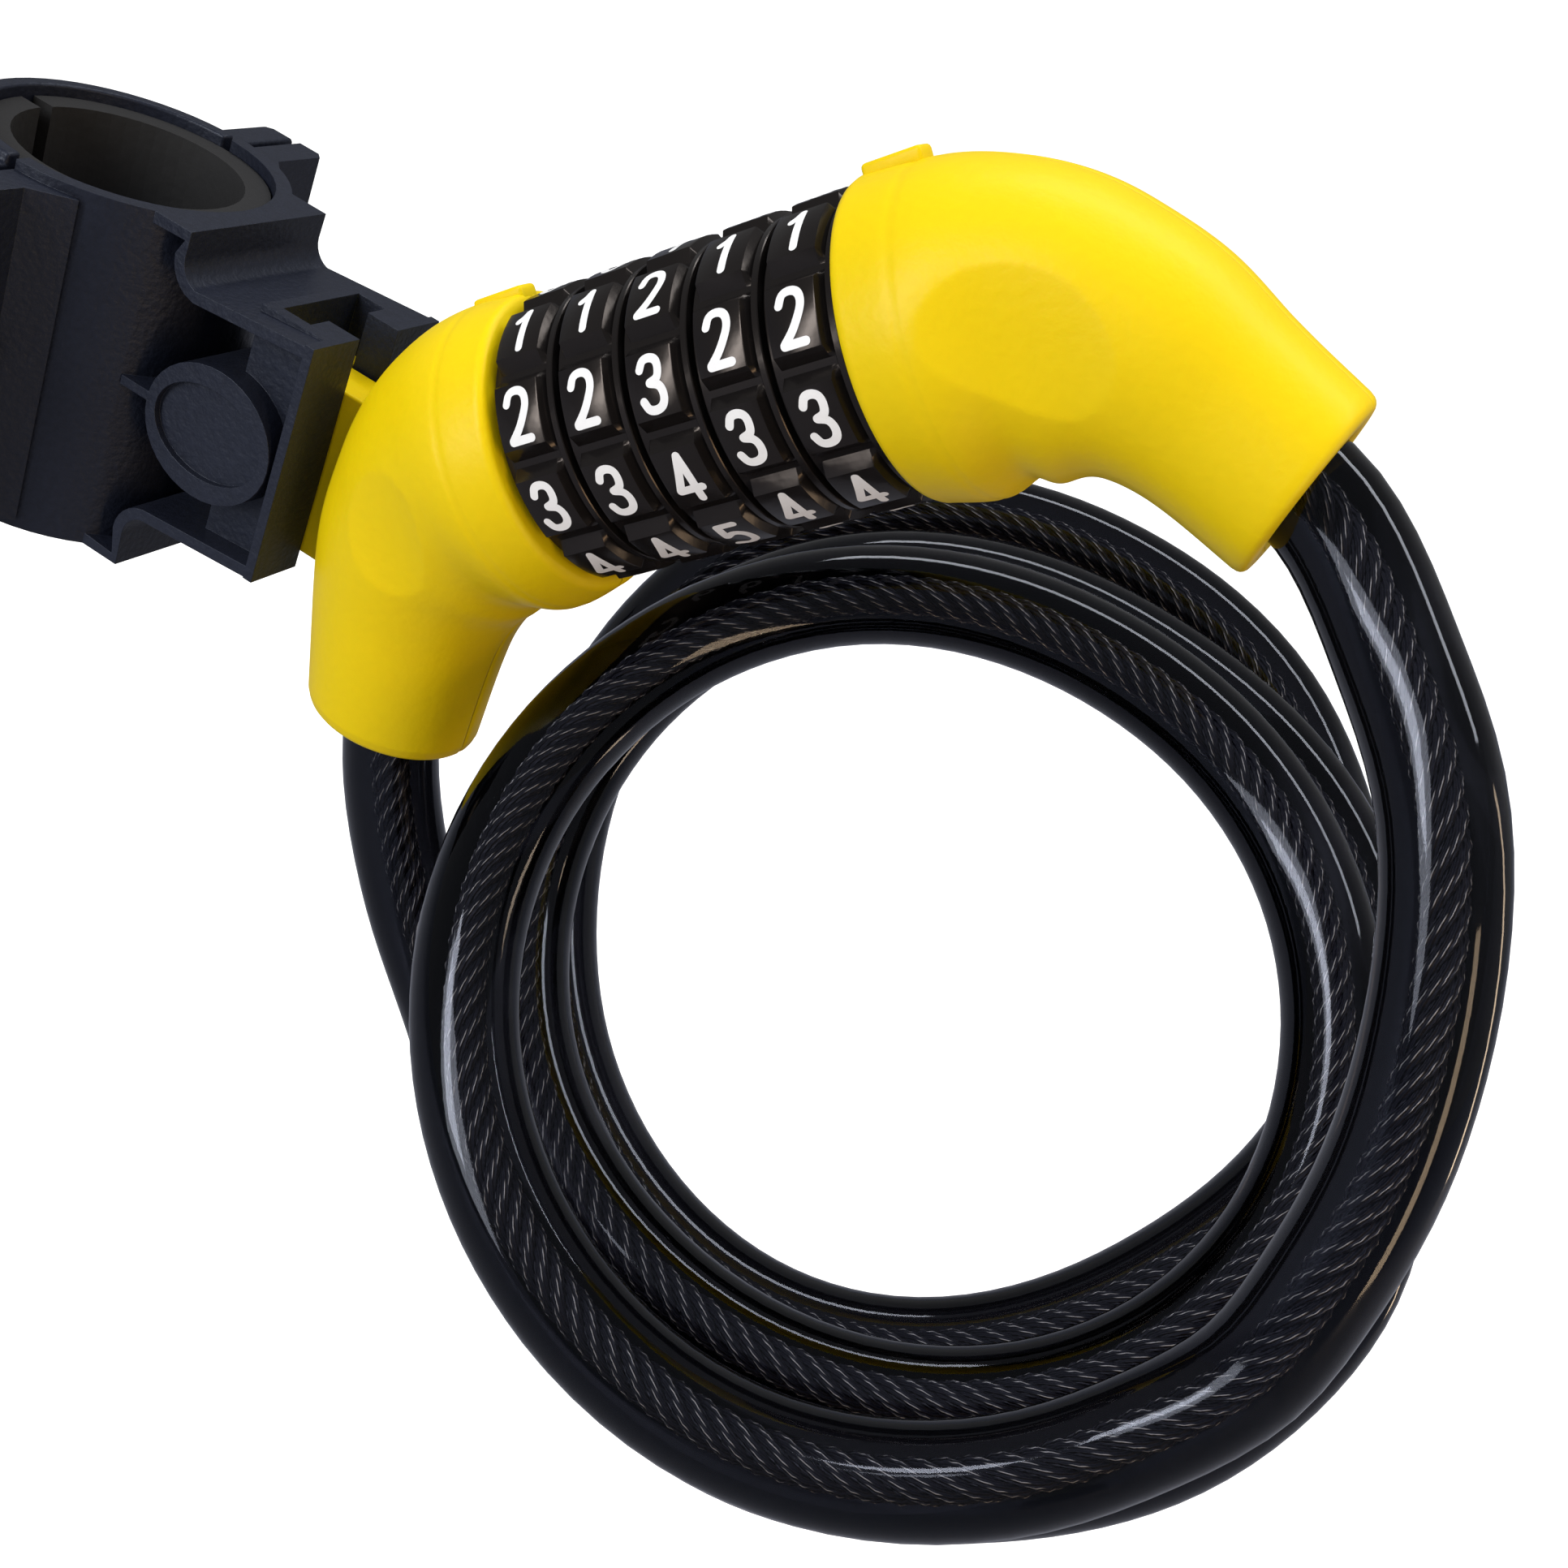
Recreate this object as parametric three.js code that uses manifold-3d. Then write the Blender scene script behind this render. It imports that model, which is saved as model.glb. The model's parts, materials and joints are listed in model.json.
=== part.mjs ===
// Coil cable lock with five number dials, hanging in its seat-post bracket.
// Millimetres, +Z up along the seat post, +X from the post to the lock, +Y to the back.
// The origin is on the post's axis, half way up the clamp.

import * as THREE from "three";
import { mergeVertices } from "three/addons/utils/BufferGeometryUtils.js";
import Module from "manifold-3d";

const wasm = await Module();
wasm.setup();

// ---------------------------------------------------------------- driving dimensions
const GAP = 0.3; // play between pieces that meet
const RAD = Math.PI / 180;

// seat post clamp
const POST_R = 13.6;
const CLAMP_BORE_R = 17;
const CLAMP_R = 19;
const CLAMP_HALF_H = 22;
const EAR_REACH = 31;
const EAR_THICK = 4.2;
const EAR_TRIM = 1.2; // the ears stand this much lower than the clamp's rim
const SCREW_Y = 26.4;
const SCREW_R = 2.5;

// bracket arm and T-slot socket
const ARM_HALF_W = 12;
const WEB_THICK = 1.5;
const SOCKET_FRONT = 39.3;
const SOCKET_TOP = 17.4;
const SOCKET_BOTTOM = -13.4;
const NECK_HALF_W = 3.7;
const TEE_HALF_W = 7;
const TEE_BACK = 30.7;
const TEE_FRONT = 34.7;
const CHANNEL_HALF_W = 8.7;

// dial pack: it starts at DIAL_START and runs along the dial axis, in the XZ plane
const DIAL_START = [67.6, 0, 19.2];
const DIAL_TILT = 42.5; // degrees above +X
const DIALS = 5;
const DIAL_PITCH = 8.4;
const DIAL_R = 16.3;
const DIAL_STEPS = 10;
const DIAL_TURNED = [2, 3, 5.5, -3, -2.4]; // degrees: where each dial rests, past its click
const BLOCK_START = 1; // a dial's raised blocks, from its left side
const BLOCK_END = 6.5;
const DIAL_BORE_R = 9.7;
const WHEEL_R = 9.4;
const TOOTH_TIP_R = 8.4;
const TOOTH_W = 3.2;
const BARREL_R = 7;
const BARREL_BORE_R = 3.9;
const PIN_R = 3.5;
const PIN_COLLAR_R = 6;
const BARREL_COLLAR_R = 8.6;
const PACK = DIALS * DIAL_PITCH;

// elbow shells
const LEG_LEFT = -90; // degrees: where each leg points, in the XZ plane
const LEG_RIGHT = -8;
const LEG_LENGTH = { left: 34.8, right: 31.4 };
const CORNER = 15.6; // from the dial pack's end to the elbow's corner
const BEND_R = 16;
const WALL = 2.3;
// along each elbow: [distance from the dials, radius, shift towards the inside of the bend]
const SHELL_FORM = {
  left: [
    [0, 16.9, 0], [7, 17.8, 0.45], [14, 16.4, -0.1], [21, 15.1, -0.6], [28, 13.6, -1.8], [35, 12.3, -1.7],
    [50, 10.6, 0],
  ],
  right: [
    [0, 16.9, 0], [7, 17.1, 0.7], [14, 14.9, -0.1], [21, 13.5, -0.6], [28, 12.1, -1.4], [35, 10.8, -1],
    [46, 10.3, 0],
  ],
};
const DIMPLE_AT = { left: 20, right: 17 }; // along each elbow
const EXIT_BORE_R = 7;
const FERRULE_R = 7.4;
const FERRULE_BORE_R = 6.3;
const FERRULE_LENGTH = 12;
const FERRULE_INSET = 9; // from the ferrule's mouth to the shell's exit
const CROSS_PIN_R = 1.5;

// cable
const CABLE_R = 6;
const CABLE_SIDES = 5; // per half turn
const COIL_TURN_R = [46.5, 48, 49.5, 52]; // middle radius of each turn, front to back
const COIL_FRONT = -7; // depth of the front turn's middle behind COIL_CENTRE
const COIL_STEP = 12.4; // from turn to turn, across the turns
const COIL_LEAN = 0.8; // upward shift per unit of that
const COIL_TILT = 45; // degrees: how far the turns lean back from upright
const COIL_CENTRE = [131.4, -5, -18];
// the cable's way from each shell to the coil
const ROUTE_RIGHT = [
  [127.2, 0, 55.54], [134, 0, 54.58], [141, 0, 53.6], [148.5, -1.4, 50.3], [156, -4.4, 45.3],
  [165.4, -10, 38.3], [172.5, -14.5, 28.5], [177.5, -18.3, 17], [180.6, -21, 4], [181.3, -23.6, -8],
];
const ROUTE_LEFT = [
  [56.1, 0, -12.2], [56.1, 0, -21], [56.5, 0, -27.3], [58.7, 0, -34.8], [63.4, 0, -43.8], [68.8, -0.6, -50.6],
  [74.7, -1.8, -55.7], [82.1, -4.7, -60.2], [93.9, -12.8, -64.5], [108.9, -23, -66.4], [123.7, -25.9, -68.5],
  [136.7, -22.8, -71.9], [155.4, -9.7, -77], [168.3, -0.9, -74], [182.2, 6.5, -61], [188.9, 13.3, -45.5],
];

const PLASTIC_YELLOW = new THREE.MeshStandardMaterial({ color: 0xf2d511, roughness: 0.55 });
const PLASTIC_BLACK = new THREE.MeshStandardMaterial({ color: 0x1b1c22, roughness: 0.6 });
const GLOSS_BLACK = new THREE.MeshStandardMaterial({ color: 0x101013, roughness: 0.22 });
const VINYL = new THREE.MeshStandardMaterial({ color: 0x15161b, roughness: 0.12 });
const RUBBER = new THREE.MeshStandardMaterial({ color: 0x111111, roughness: 0.85 });
const STEEL = new THREE.MeshStandardMaterial({ color: 0xb9bcc0, roughness: 0.35, metalness: 1 });
const BRASS = new THREE.MeshStandardMaterial({ color: 0xc2a25a, roughness: 0.4, metalness: 1 });

// ---------------------------------------------------------------- helpers
const root = new THREE.Group();
const V = (x, y, z) => new THREE.Vector3(x, y, z);
const along = (degrees) => V(Math.cos(degrees * RAD), 0, Math.sin(degrees * RAD));

function solid(geometry) {
  const g = new THREE.BufferGeometry();
  const source = geometry.index ? geometry.toNonIndexed() : geometry;
  g.setAttribute("position", source.getAttribute("position").clone());
  const merged = mergeVertices(g, 1e-4);
  const body = new wasm.Manifold(
    new wasm.Mesh({
      numProp: 3,
      vertProperties: merged.attributes.position.array,
      triVerts: new Uint32Array(merged.index.array),
    }),
  );
  return body;
}

function geometryOf(body) {
  const m = body.getMesh();
  const g = new THREE.BufferGeometry();
  g.setAttribute("position", new THREE.BufferAttribute(new Float32Array(m.vertProperties), 3));
  g.setIndex(new THREE.BufferAttribute(new Uint32Array(m.triVerts), 1));
  g.computeVertexNormals();
  return g;
}

function place(name, body, material, parent = root) {
  const geometry = body.isBufferGeometry ? body : geometryOf(body);
  const mesh = new THREE.Mesh(geometry, material.clone());
  mesh.name = name;
  parent.add(mesh);
  return mesh;
}

const union = (bodies) => bodies.reduce((sum, b) => sum.add(b));

// A box between two corners.
function box([x0, y0, z0], [x1, y1, z1]) {
  const g = new THREE.BoxGeometry(x1 - x0, y1 - y0, z1 - z0);
  g.translate((x0 + x1) / 2, (y0 + y1) / 2, (z0 + z1) / 2);
  return solid(g);
}

// A solid of revolution about +Z from a closed outline of [radius, height] points.
function lathe(outline, sides = 24) {
  const points = outline.map(([r, z]) => new THREE.Vector2(r, z));
  points.push(points[0].clone());
  const g = new THREE.LatheGeometry(points, sides);
  g.rotateX(Math.PI / 2);
  const body = solid(g);
  if (body.volume() > 0) return body;
  const flipped = new THREE.LatheGeometry(points.slice().reverse(), sides);
  flipped.rotateX(Math.PI / 2);
  return solid(flipped);
}

// A round bar or tube along +Z between two heights.
function rod(r, z0, z1, sides) {
  const g = new THREE.CylinderGeometry(r, r, z1 - z0, sides);
  g.rotateX(Math.PI / 2);
  g.translate(0, 0, (z0 + z1) / 2);
  return solid(g);
}

const tube = (r, bore, z0, z1, sides) =>
  lathe([[bore, z0], [r, z0], [r, z1], [bore, z1]], sides);

// An outline of [x, z] points pulled out along Y between two values.
function slab(outline, y0, y1) {
  const shape = new THREE.Shape(outline.map(([x, z]) => new THREE.Vector2(x, z)));
  const g = new THREE.ExtrudeGeometry(shape, { depth: y1 - y0, bevelEnabled: false, curveSegments: 24 });
  g.rotateX(Math.PI / 2); // the outline's second axis becomes +Z, its depth runs to -Y
  g.translate(0, y1, 0);
  return solid(g);
}

// The outline of a plate of constant thickness whose upper face follows the points.
function plateOutline(points, thickness) {
  const lower = points.map(([x, z], i) => {
    const [ax, az] = points[Math.max(i - 1, 0)];
    const [bx, bz] = points[Math.min(i + 1, points.length - 1)];
    const length = Math.hypot(bx - ax, bz - az);
    return [x + ((bz - az) / length) * thickness, z - ((bx - ax) / length) * thickness];
  });
  return points.concat(lower.reverse());
}

const arc = (cx, cz, r, from, to, steps) =>
  Array.from({ length: steps + 1 }, (_, i) => {
    const a = (from + ((to - from) * i) / steps) * RAD;
    return [cx + r * Math.cos(a), cz + r * Math.sin(a)];
  });

// ---------------------------------------------------------------- bracket
// The web plate leaves the clamp's rim, drops down its front and curls out to the socket.
function webPlate(rimZ, curlZ, socketZ) {
  const down = Math.sign(curlZ - rimZ);
  const curlR = 3;
  const curl = arc(20 + curlR, curlZ - down * curlR, curlR, 180, 180 + 75, 6)
    .map(([x, z]) => [x, down < 0 ? z : 2 * (curlZ - down * curlR) - z]);
  const points = [[14, rimZ], [20.1, rimZ], ...curl, [SOCKET_FRONT - 0.7, socketZ + down * 0.2]];
  const outline = plateOutline(points, -down * WEB_THICK);
  return slab(down < 0 ? outline : outline.slice().reverse(), -ARM_HALF_W, ARM_HALF_W);
}

function socketBody() {
  const slice = (x, halfW) => box([x, -halfW, SOCKET_BOTTOM], [SOCKET_FRONT, halfW, SOCKET_TOP]);
  const flange = slice(SOCKET_FRONT - 1.3, ARM_HALF_W);
  const channel = slice(TEE_BACK - 1.7, CHANNEL_HALF_W);
  return flange.add(channel);
}

function teeSlot() {
  const above = SOCKET_TOP + 5;
  const head = box([TEE_BACK, -TEE_HALF_W, SOCKET_BOTTOM + 1.5], [TEE_FRONT, TEE_HALF_W, above]);
  const neck = box([TEE_FRONT - 1, -NECK_HALF_W, SOCKET_BOTTOM - 5], [SOCKET_FRONT + 2, NECK_HALF_W, above]);
  return head.add(neck);
}

// An oval boss between the two webs, dished on both faces.
function ovalBoss() {
  const oval = (a, c, y0, y1) => {
    const points = arc(0, 0, 1, 0, 350, 35).map(([x, z]) => [28.3 + a * x, 0.6 + c * z]);
    return slab(points, y0, y1);
  };
  const dish = 0.9;
  return oval(9.2, 8.2, -ARM_HALF_W, ARM_HALF_W)
    .subtract(oval(7.8, 5.6, -ARM_HALF_W - 1, -ARM_HALF_W + dish))
    .subtract(oval(7.8, 5.6, ARM_HALF_W - dish, ARM_HALF_W + 1));
}

// Half of the clamp's ring with its two ears; side is +1 for the arm's half and -1 for the strap.
function clampHalf(side) {
  const faceX = side * 0.6;
  const halfSpace = box(
    side > 0 ? [faceX, -60, -40] : [-60, -60, -40],
    side > 0 ? [60, 60, 40] : [faceX, 60, 40],
  );
  const ring = rod(CLAMP_R, -CLAMP_HALF_H, CLAMP_HALF_H, 56);
  const earTop = CLAMP_HALF_H - EAR_TRIM;
  const ears = [-1, 1].map((sy) => {
    const inner = CLAMP_R - 3;
    const outline = [
      [faceX, sy * inner], [faceX, sy * EAR_REACH], [faceX + side * (EAR_THICK - 1), sy * EAR_REACH],
      [faceX + side * EAR_THICK, sy * (EAR_REACH - 1)], [faceX + side * EAR_THICK, sy * 21.6],
      [faceX + side * (EAR_THICK + 4), sy * (CLAMP_R - 1.6)],
    ];
    const shape = new THREE.Shape(outline.map(([x, y]) => new THREE.Vector2(x, y)));
    const g = new THREE.ExtrudeGeometry(shape, { depth: 2 * earTop, bevelEnabled: false });
    g.translate(0, 0, -earTop);
    return solid(g);
  });
  const bore = rod(CLAMP_BORE_R, -CLAMP_HALF_H - 5, CLAMP_HALF_H + 5, 56);
  return { body: union([ring, ...ears]).intersect(halfSpace), bore };
}

function screwHole(sy) {
  const g = new THREE.CylinderGeometry(SCREW_R + GAP, SCREW_R + GAP, 40, 20);
  g.rotateZ(Math.PI / 2);
  g.translate(0, sy * SCREW_Y, 0);
  return solid(g);
}

function makeBracket() {
  const front = clampHalf(1);
  const rib = box([15, -ARM_HALF_W, 0.3], [20.5, ARM_HALF_W, 1.5]);
  const arm = union([
    webPlate(CLAMP_HALF_H, 15.8, SOCKET_TOP),
    webPlate(-CLAMP_HALF_H, -14.4, SOCKET_BOTTOM),
    socketBody(),
    ovalBoss(),
    rib,
  ]);
  let body = front.body.add(arm).subtract(front.bore).subtract(teeSlot());
  for (const sy of [-1, 1]) {
    const pocket = hexagon(4.65, EAR_THICK - 1.6, 10, sy);
    body = body.subtract(screwHole(sy)).subtract(pocket);
  }
  place("bracket_body", body, PLASTIC_BLACK);

  const strap = clampHalf(-1);
  const strapBody = [-1, 1].reduce((b, sy) => b.subtract(screwHole(sy)), strap.body.subtract(strap.bore));
  place("clamp_strap", strapBody, PLASTIC_BLACK);
}

// A hexagonal prism along X on a screw's axis.
function hexagon(r, x0, x1, sy) {
  const g = new THREE.CylinderGeometry(r, r, x1 - x0, 6);
  g.rotateZ(Math.PI / 2);
  g.translate((x0 + x1) / 2, sy * SCREW_Y, 0);
  return solid(g);
}

function makeClampHardware() {
  ["front", "back"].forEach((side, i) => {
    const sy = i ? 1 : -1;
    const outline = [[0, -3.4], [3.4, -3.4], [4.3, -2.2], [4.3, 0], [SCREW_R, 0], [SCREW_R, 12.6], [0, 12.6]];
    const screw = lathe(outline, 16);
    const slot = box([-0.5, -3.2, -4], [0.5, 3.2, -2]).add(box([-3.2, -0.5, -4], [3.2, 0.5, -2]));
    const mesh = place("clamp_screw_" + side, screw.subtract(slot), STEEL);
    mesh.rotation.y = Math.PI / 2;
    mesh.position.set(-0.6 - EAR_THICK - GAP, sy * SCREW_Y, 0);

    const nut = hexagon(4.3, EAR_THICK - 1.6 + GAP, EAR_THICK + 2.2, sy);
    place("clamp_nut_" + side, nut.subtract(screwHole(sy)), STEEL);
  });
}

function makeLiner() {
  const sleeve = tube(CLAMP_BORE_R - GAP, POST_R, -20.6, 20.6, 48);
  place("post_liner", sleeve.subtract(box([-30, -1, -30], [0, 1, 30])), RUBBER);
}

// ---------------------------------------------------------------- elbow shells
// The centre line of an elbow, from the dial pack's end to the cable's exit.
class ElbowCurve extends THREE.CurvePath {
  constructor(side) {
    super();
    const start = V(...DIAL_START);
    const dir = along(DIAL_TILT);
    if (side === "right") start.addScaledVector(dir, PACK);
    else dir.negate();
    const out = along(side === "left" ? LEG_LEFT : LEG_RIGHT);
    const half = dir.angleTo(out) / 2;
    const back = BEND_R * Math.tan(half);
    const corner = start.clone().addScaledVector(dir, CORNER);
    const bendStart = corner.clone().addScaledVector(dir, -back);
    const bendEnd = corner.clone().addScaledVector(out, back);
    const exit = corner.clone().addScaledVector(out, LEG_LENGTH[side]);
    this.add(new THREE.LineCurve3(start, bendStart));
    this.add(new BendCurve(bendStart, dir, out));
    this.add(new THREE.LineCurve3(bendEnd, exit));
    this.length = this.getLength();
    this.start = start;
    this.dir = dir;
    this.out = out;
    this.exit = exit;
    this.turn = side === "left" ? -1 : 1;
  }
  // The point and the in-plane and cross directions at a distance from the dial pack, which
  // may lie past either end.
  frameAt(s) {
    const u = THREE.MathUtils.clamp(s / this.length, 0, 1);
    const point = this.getPointAt(u);
    const tangent = u <= 0 ? this.dir.clone() : u >= 1 ? this.out.clone() : this.getTangentAt(u);
    point.addScaledVector(tangent, s - u * this.length);
    const cross = V(0, 1, 0);
    const inward = cross.clone().cross(tangent).multiplyScalar(this.turn);
    return { point, tangent, inward, cross };
  }
}

// A circular bend that leaves along one direction and arrives along another.
class BendCurve extends THREE.Curve {
  constructor(start, dir, out) {
    super();
    this.angle = dir.angleTo(out);
    this.start = start;
    this.dir = dir;
    this.inward = out.clone().addScaledVector(dir, -dir.dot(out)).normalize();
  }
  getPoint(t, target = V(0, 0, 0)) {
    const a = t * this.angle;
    return target
      .copy(this.start)
      .addScaledVector(this.dir, BEND_R * Math.sin(a))
      .addScaledVector(this.inward, BEND_R * (1 - Math.cos(a)));
  }
}

const ELBOW = { left: new ElbowCurve("left"), right: new ElbowCurve("right") };

// A solid of revolution bent along an elbow: outline of [radius, distance along the elbow].
// The shift moves each cross-section towards the inside of the bend.
function bentLathe(outline, side, sides, shift = () => 0) {
  const curve = ELBOW[side];
  const points = [];
  outline.forEach(([r, s], i) => {
    if (i) {
      const [pr, ps] = outline[i - 1];
      const steps = Math.max(1, Math.ceil(Math.abs(s - ps) / 4.5));
      for (let k = 1; k < steps; k += 1)
        points.push([pr + ((r - pr) * k) / steps, ps + ((s - ps) * k) / steps]);
    }
    points.push([r, s]);
  });
  const g = new THREE.LatheGeometry(points.map(([r, s]) => new THREE.Vector2(r, s)), sides);
  const position = g.getAttribute("position");
  for (let i = 0; i < position.count; i += 1) {
    const s = position.getY(i);
    const { point, inward, cross } = curve.frameAt(s);
    point.addScaledVector(inward, position.getX(i) + shift(s)).addScaledVector(cross, position.getZ(i));
    position.setXYZ(i, point.x, point.y, point.z);
  }
  const body = solid(g);
  return body.volume() > 0 ? body : flip(g);
}

function flip(geometry) {
  const g = geometry.index ? geometry.toNonIndexed() : geometry.clone();
  const p = g.getAttribute("position");
  for (let i = 0; i < p.count; i += 3) {
    const a = [p.getX(i), p.getY(i), p.getZ(i)];
    p.setXYZ(i, p.getX(i + 1), p.getY(i + 1), p.getZ(i + 1));
    p.setXYZ(i + 1, ...a);
  }
  return solid(g);
}

// A column of the shell's form at a distance along the elbow, on a smooth curve.
function shellForm(side, column, s) {
  const knots = SHELL_FORM[side];
  const spline = new THREE.SplineCurve(knots.map((k) => new THREE.Vector2(k[0], k[column])));
  let low = 0;
  let high = 1;
  for (let i = 0; i < 24; i += 1) {
    const mid = (low + high) / 2;
    if (spline.getPoint(mid).x < s) low = mid;
    else high = mid;
  }
  return spline.getPoint((low + high) / 2).y;
}

const shellRadius = (side, s) => shellForm(side, 1, s);
const shellShift = (side, s) => shellForm(side, 2, s);

function shellSolid(side) {
  const length = ELBOW[side].length;
  const face = side === "left" ? GAP : 0;
  const outer = [[0, face], [16.1, face], [shellRadius(side, 0.9), 0.9]];
  for (let s = 4; s < length - 3; s += 4) outer.push([shellRadius(side, s), s]);
  const rim = shellRadius(side, length);
  outer.push([rim, length - 1.2], [rim - 1.2, length], [0, length]);
  const shift = (s) => shellShift(side, THREE.MathUtils.clamp(s, 0, length));
  return bentLathe(outer, side, 24, shift).subtract(coreSeat(side)).subtract(cableHollow(side));
}

// The straight recess that grips the collar of the pin or of the barrel.
function coreSeat(side) {
  const shaftR = (side === "left" ? PIN_R : BARREL_R) + GAP;
  const collarR = (side === "left" ? PIN_COLLAR_R : BARREL_COLLAR_R) + GAP;
  const body = lathe([
    [0, -1], [shaftR, -1], [shaftR, 4.6], [collarR, 4.6], [collarR, 7.8], [shaftR, 7.8], [shaftR, 9.9],
    [0, 9.9],
  ], 16);
  const { start, dir } = ELBOW[side];
  const turn = Math.atan2(dir.x, dir.z) / RAD;
  return body.rotate([0, turn, 0]).translate([start.x, start.y, start.z]);
}

// The hollow behind it, the ferrule's seat and the bore that the cable leaves through.
function cableHollow(side) {
  const length = ELBOW[side].length;
  const seat = length - FERRULE_INSET - FERRULE_LENGTH;
  const hollow = (s) => Math.max(shellRadius(side, s) - WALL - 0.6, EXIT_BORE_R);
  const seatR = FERRULE_R + GAP;
  return bentLathe(
    [
      [0, 9.8], [5, 9.8], [hollow(12), 11.5], [hollow(15), 15], [hollow(19), 19], [7, seat - 2],
      [5, seat - 2], [5, seat - GAP], [seatR, seat - GAP], [seatR, seat + FERRULE_LENGTH + GAP],
      [EXIT_BORE_R, seat + FERRULE_LENGTH + GAP], [EXIT_BORE_R, length + 1], [0, length + 1],
    ],
    side,
    16,
  );
}

// A low ridge on the shell's top, next to the dials, that the code is read against.
function indexRidge(side) {
  const sign = side === "left" ? -1 : 1;
  const g = new THREE.BoxGeometry(6.4, 3.2, 2);
  const start = ELBOW[side].start;
  const dir = along(DIAL_TILT);
  const up = V(-dir.z, 0, dir.x);
  g.rotateY(-DIAL_TILT * RAD);
  const centre = start.clone().addScaledVector(dir, sign * 3.6).addScaledVector(up, 17.2);
  g.translate(centre.x, centre.y, centre.z);
  return solid(g);
}

// A shallow finger dimple on the front of the elbow.
function dimple(side) {
  const at = DIMPLE_AT[side];
  const { point } = ELBOW[side].frameAt(at);
  const g = new THREE.SphereGeometry(1, 16, 10);
  g.scale(7.5, 3.2, 7.5);
  g.translate(point.x, -shellRadius(side, at) - 2.1, point.z);
  return solid(g);
}

function makeShells() {
  for (const side of ["left", "right"]) {
    let whole = shellSolid(side).add(indexRidge(side)).subtract(dimple(side));
    whole = whole.subtract(crossPinBody(side, CROSS_PIN_R + GAP, 8.2 + GAP));
    if (side === "left") whole = whole.subtract(tongueSolid(GAP));
    const half = GAP / 2;
    const front = whole.intersect(box([-50, -60, -120], [250, -half, 150]));
    const back = whole.intersect(box([-50, half, -120], [250, 60, 150]));
    place(side + "_shell_front", front, PLASTIC_YELLOW);
    place(side + "_shell_back", back, PLASTIC_YELLOW);
  }
}

// ---------------------------------------------------------------- tongue on the left shell
function tongueSolid(grow = 0) {
  const bottom = SOCKET_BOTTOM + 1.9 - grow;
  const top = SOCKET_TOP - 3;
  const head = box(
    [TEE_BACK + 0.35 - grow, -TEE_HALF_W + 0.4 - grow, bottom],
    [TEE_FRONT - 0.35 + grow, TEE_HALF_W - 0.4 + grow, top + grow],
  );
  const neck = box(
    [TEE_FRONT - 1, -NECK_HALF_W + 0.4 - grow, bottom],
    [46 + grow, NECK_HALF_W - 0.4 + grow, top + grow],
  );
  return head.add(neck);
}

function makeTongue() {
  place("left_tongue", tongueSolid(), PLASTIC_YELLOW);
}

// ---------------------------------------------------------------- cable ends inside the shells
function crossPinBody(side, r, halfLength) {
  const curve = ELBOW[side];
  const { point } = curve.frameAt(curve.length - FERRULE_INSET - FERRULE_LENGTH + 3);
  const g = new THREE.CylinderGeometry(r, r, 2 * halfLength, 12);
  g.translate(point.x, 0, point.z);
  return solid(g);
}

function makeFerrules() {
  for (const side of ["left", "right"]) {
    const curve = ELBOW[side];
    const start = curve.length - FERRULE_INSET - FERRULE_LENGTH;
    const end = start + FERRULE_LENGTH;
    const outline = [
      [0, start], [FERRULE_R, start], [FERRULE_R, end], [FERRULE_BORE_R, end], [FERRULE_BORE_R, start + 6.5],
      [0, start + 6.5],
    ];
    const ferrule = bentLathe(outline, side, 20).subtract(crossPinBody(side, CROSS_PIN_R + GAP, 20));
    place(side + "_ferrule", ferrule, BRASS);
    place(side + "_cross_pin", crossPinBody(side, CROSS_PIN_R, 8.2), STEEL);
  }
}

// ---------------------------------------------------------------- lock core, built along +Z
// The group stands at the dial pack's start with its +Z along the dial axis and its +X down.
function coreGroup() {
  const group = new THREE.Group();
  group.position.set(...DIAL_START);
  group.rotation.y = (90 - DIAL_TILT) * RAD;
  root.add(group);
  return group;
}

const toothZ = (i) => (i + 1) * DIAL_PITCH - 1.95;

function makePin(group) {
  const shaft = lathe(
    [
      [0, -9.4], [PIN_R, -9.4], [PIN_R, -7.5], [PIN_COLLAR_R, -7.5], [PIN_COLLAR_R, -4.9], [PIN_R, -4.9],
      [PIN_R, PACK - 1], [PIN_R - 1, PACK], [0, PACK],
    ],
    20,
  );
  const teeth = Array.from({ length: DIALS }, (_, i) =>
    box([0, -TOOTH_W / 2, toothZ(i) - 1], [TOOTH_TIP_R - 0.2, TOOTH_W / 2, toothZ(i) + 1]),
  );
  place("lock_pin", union([shaft, ...teeth]), STEEL, group);
}

function makeBarrel(group) {
  const end = PACK + 9.4;
  const outline = [
    [BARREL_BORE_R, 0.4], [BARREL_R, 0.4], [BARREL_R, PACK + 4.9], [BARREL_COLLAR_R, PACK + 4.9],
    [BARREL_COLLAR_R, PACK + 7.5], [BARREL_R, PACK + 7.5], [BARREL_R, end], [BARREL_BORE_R, end],
  ];
  const slot = box([0, -TOOTH_W / 2 - GAP, -2], [12, TOOTH_W / 2 + GAP, PACK - 0.6]);
  const springGroove = box([-8, -1.9, 3], [-5.9, 1.9, PACK - 2]);
  const clipGroove = tube(9, BARREL_R - 0.7, 0.85, 1.95, 24);
  const body = lathe(outline, 24).subtract(slot).subtract(springGroove).subtract(clipGroove);
  place("barrel", body, STEEL, group);
  place("detent_strip", box([-6.75, -1.5, 3.4], [-6.2, 1.5, PACK - 2.4]), STEEL, group);
  const clip = tube(8.9, BARREL_R - 0.4, 1.15, 1.65, 24);
  place("barrel_clip", clip.subtract(box([-2, -3.4, -5], [12, 3.4, 5])), STEEL, group);
}

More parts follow.
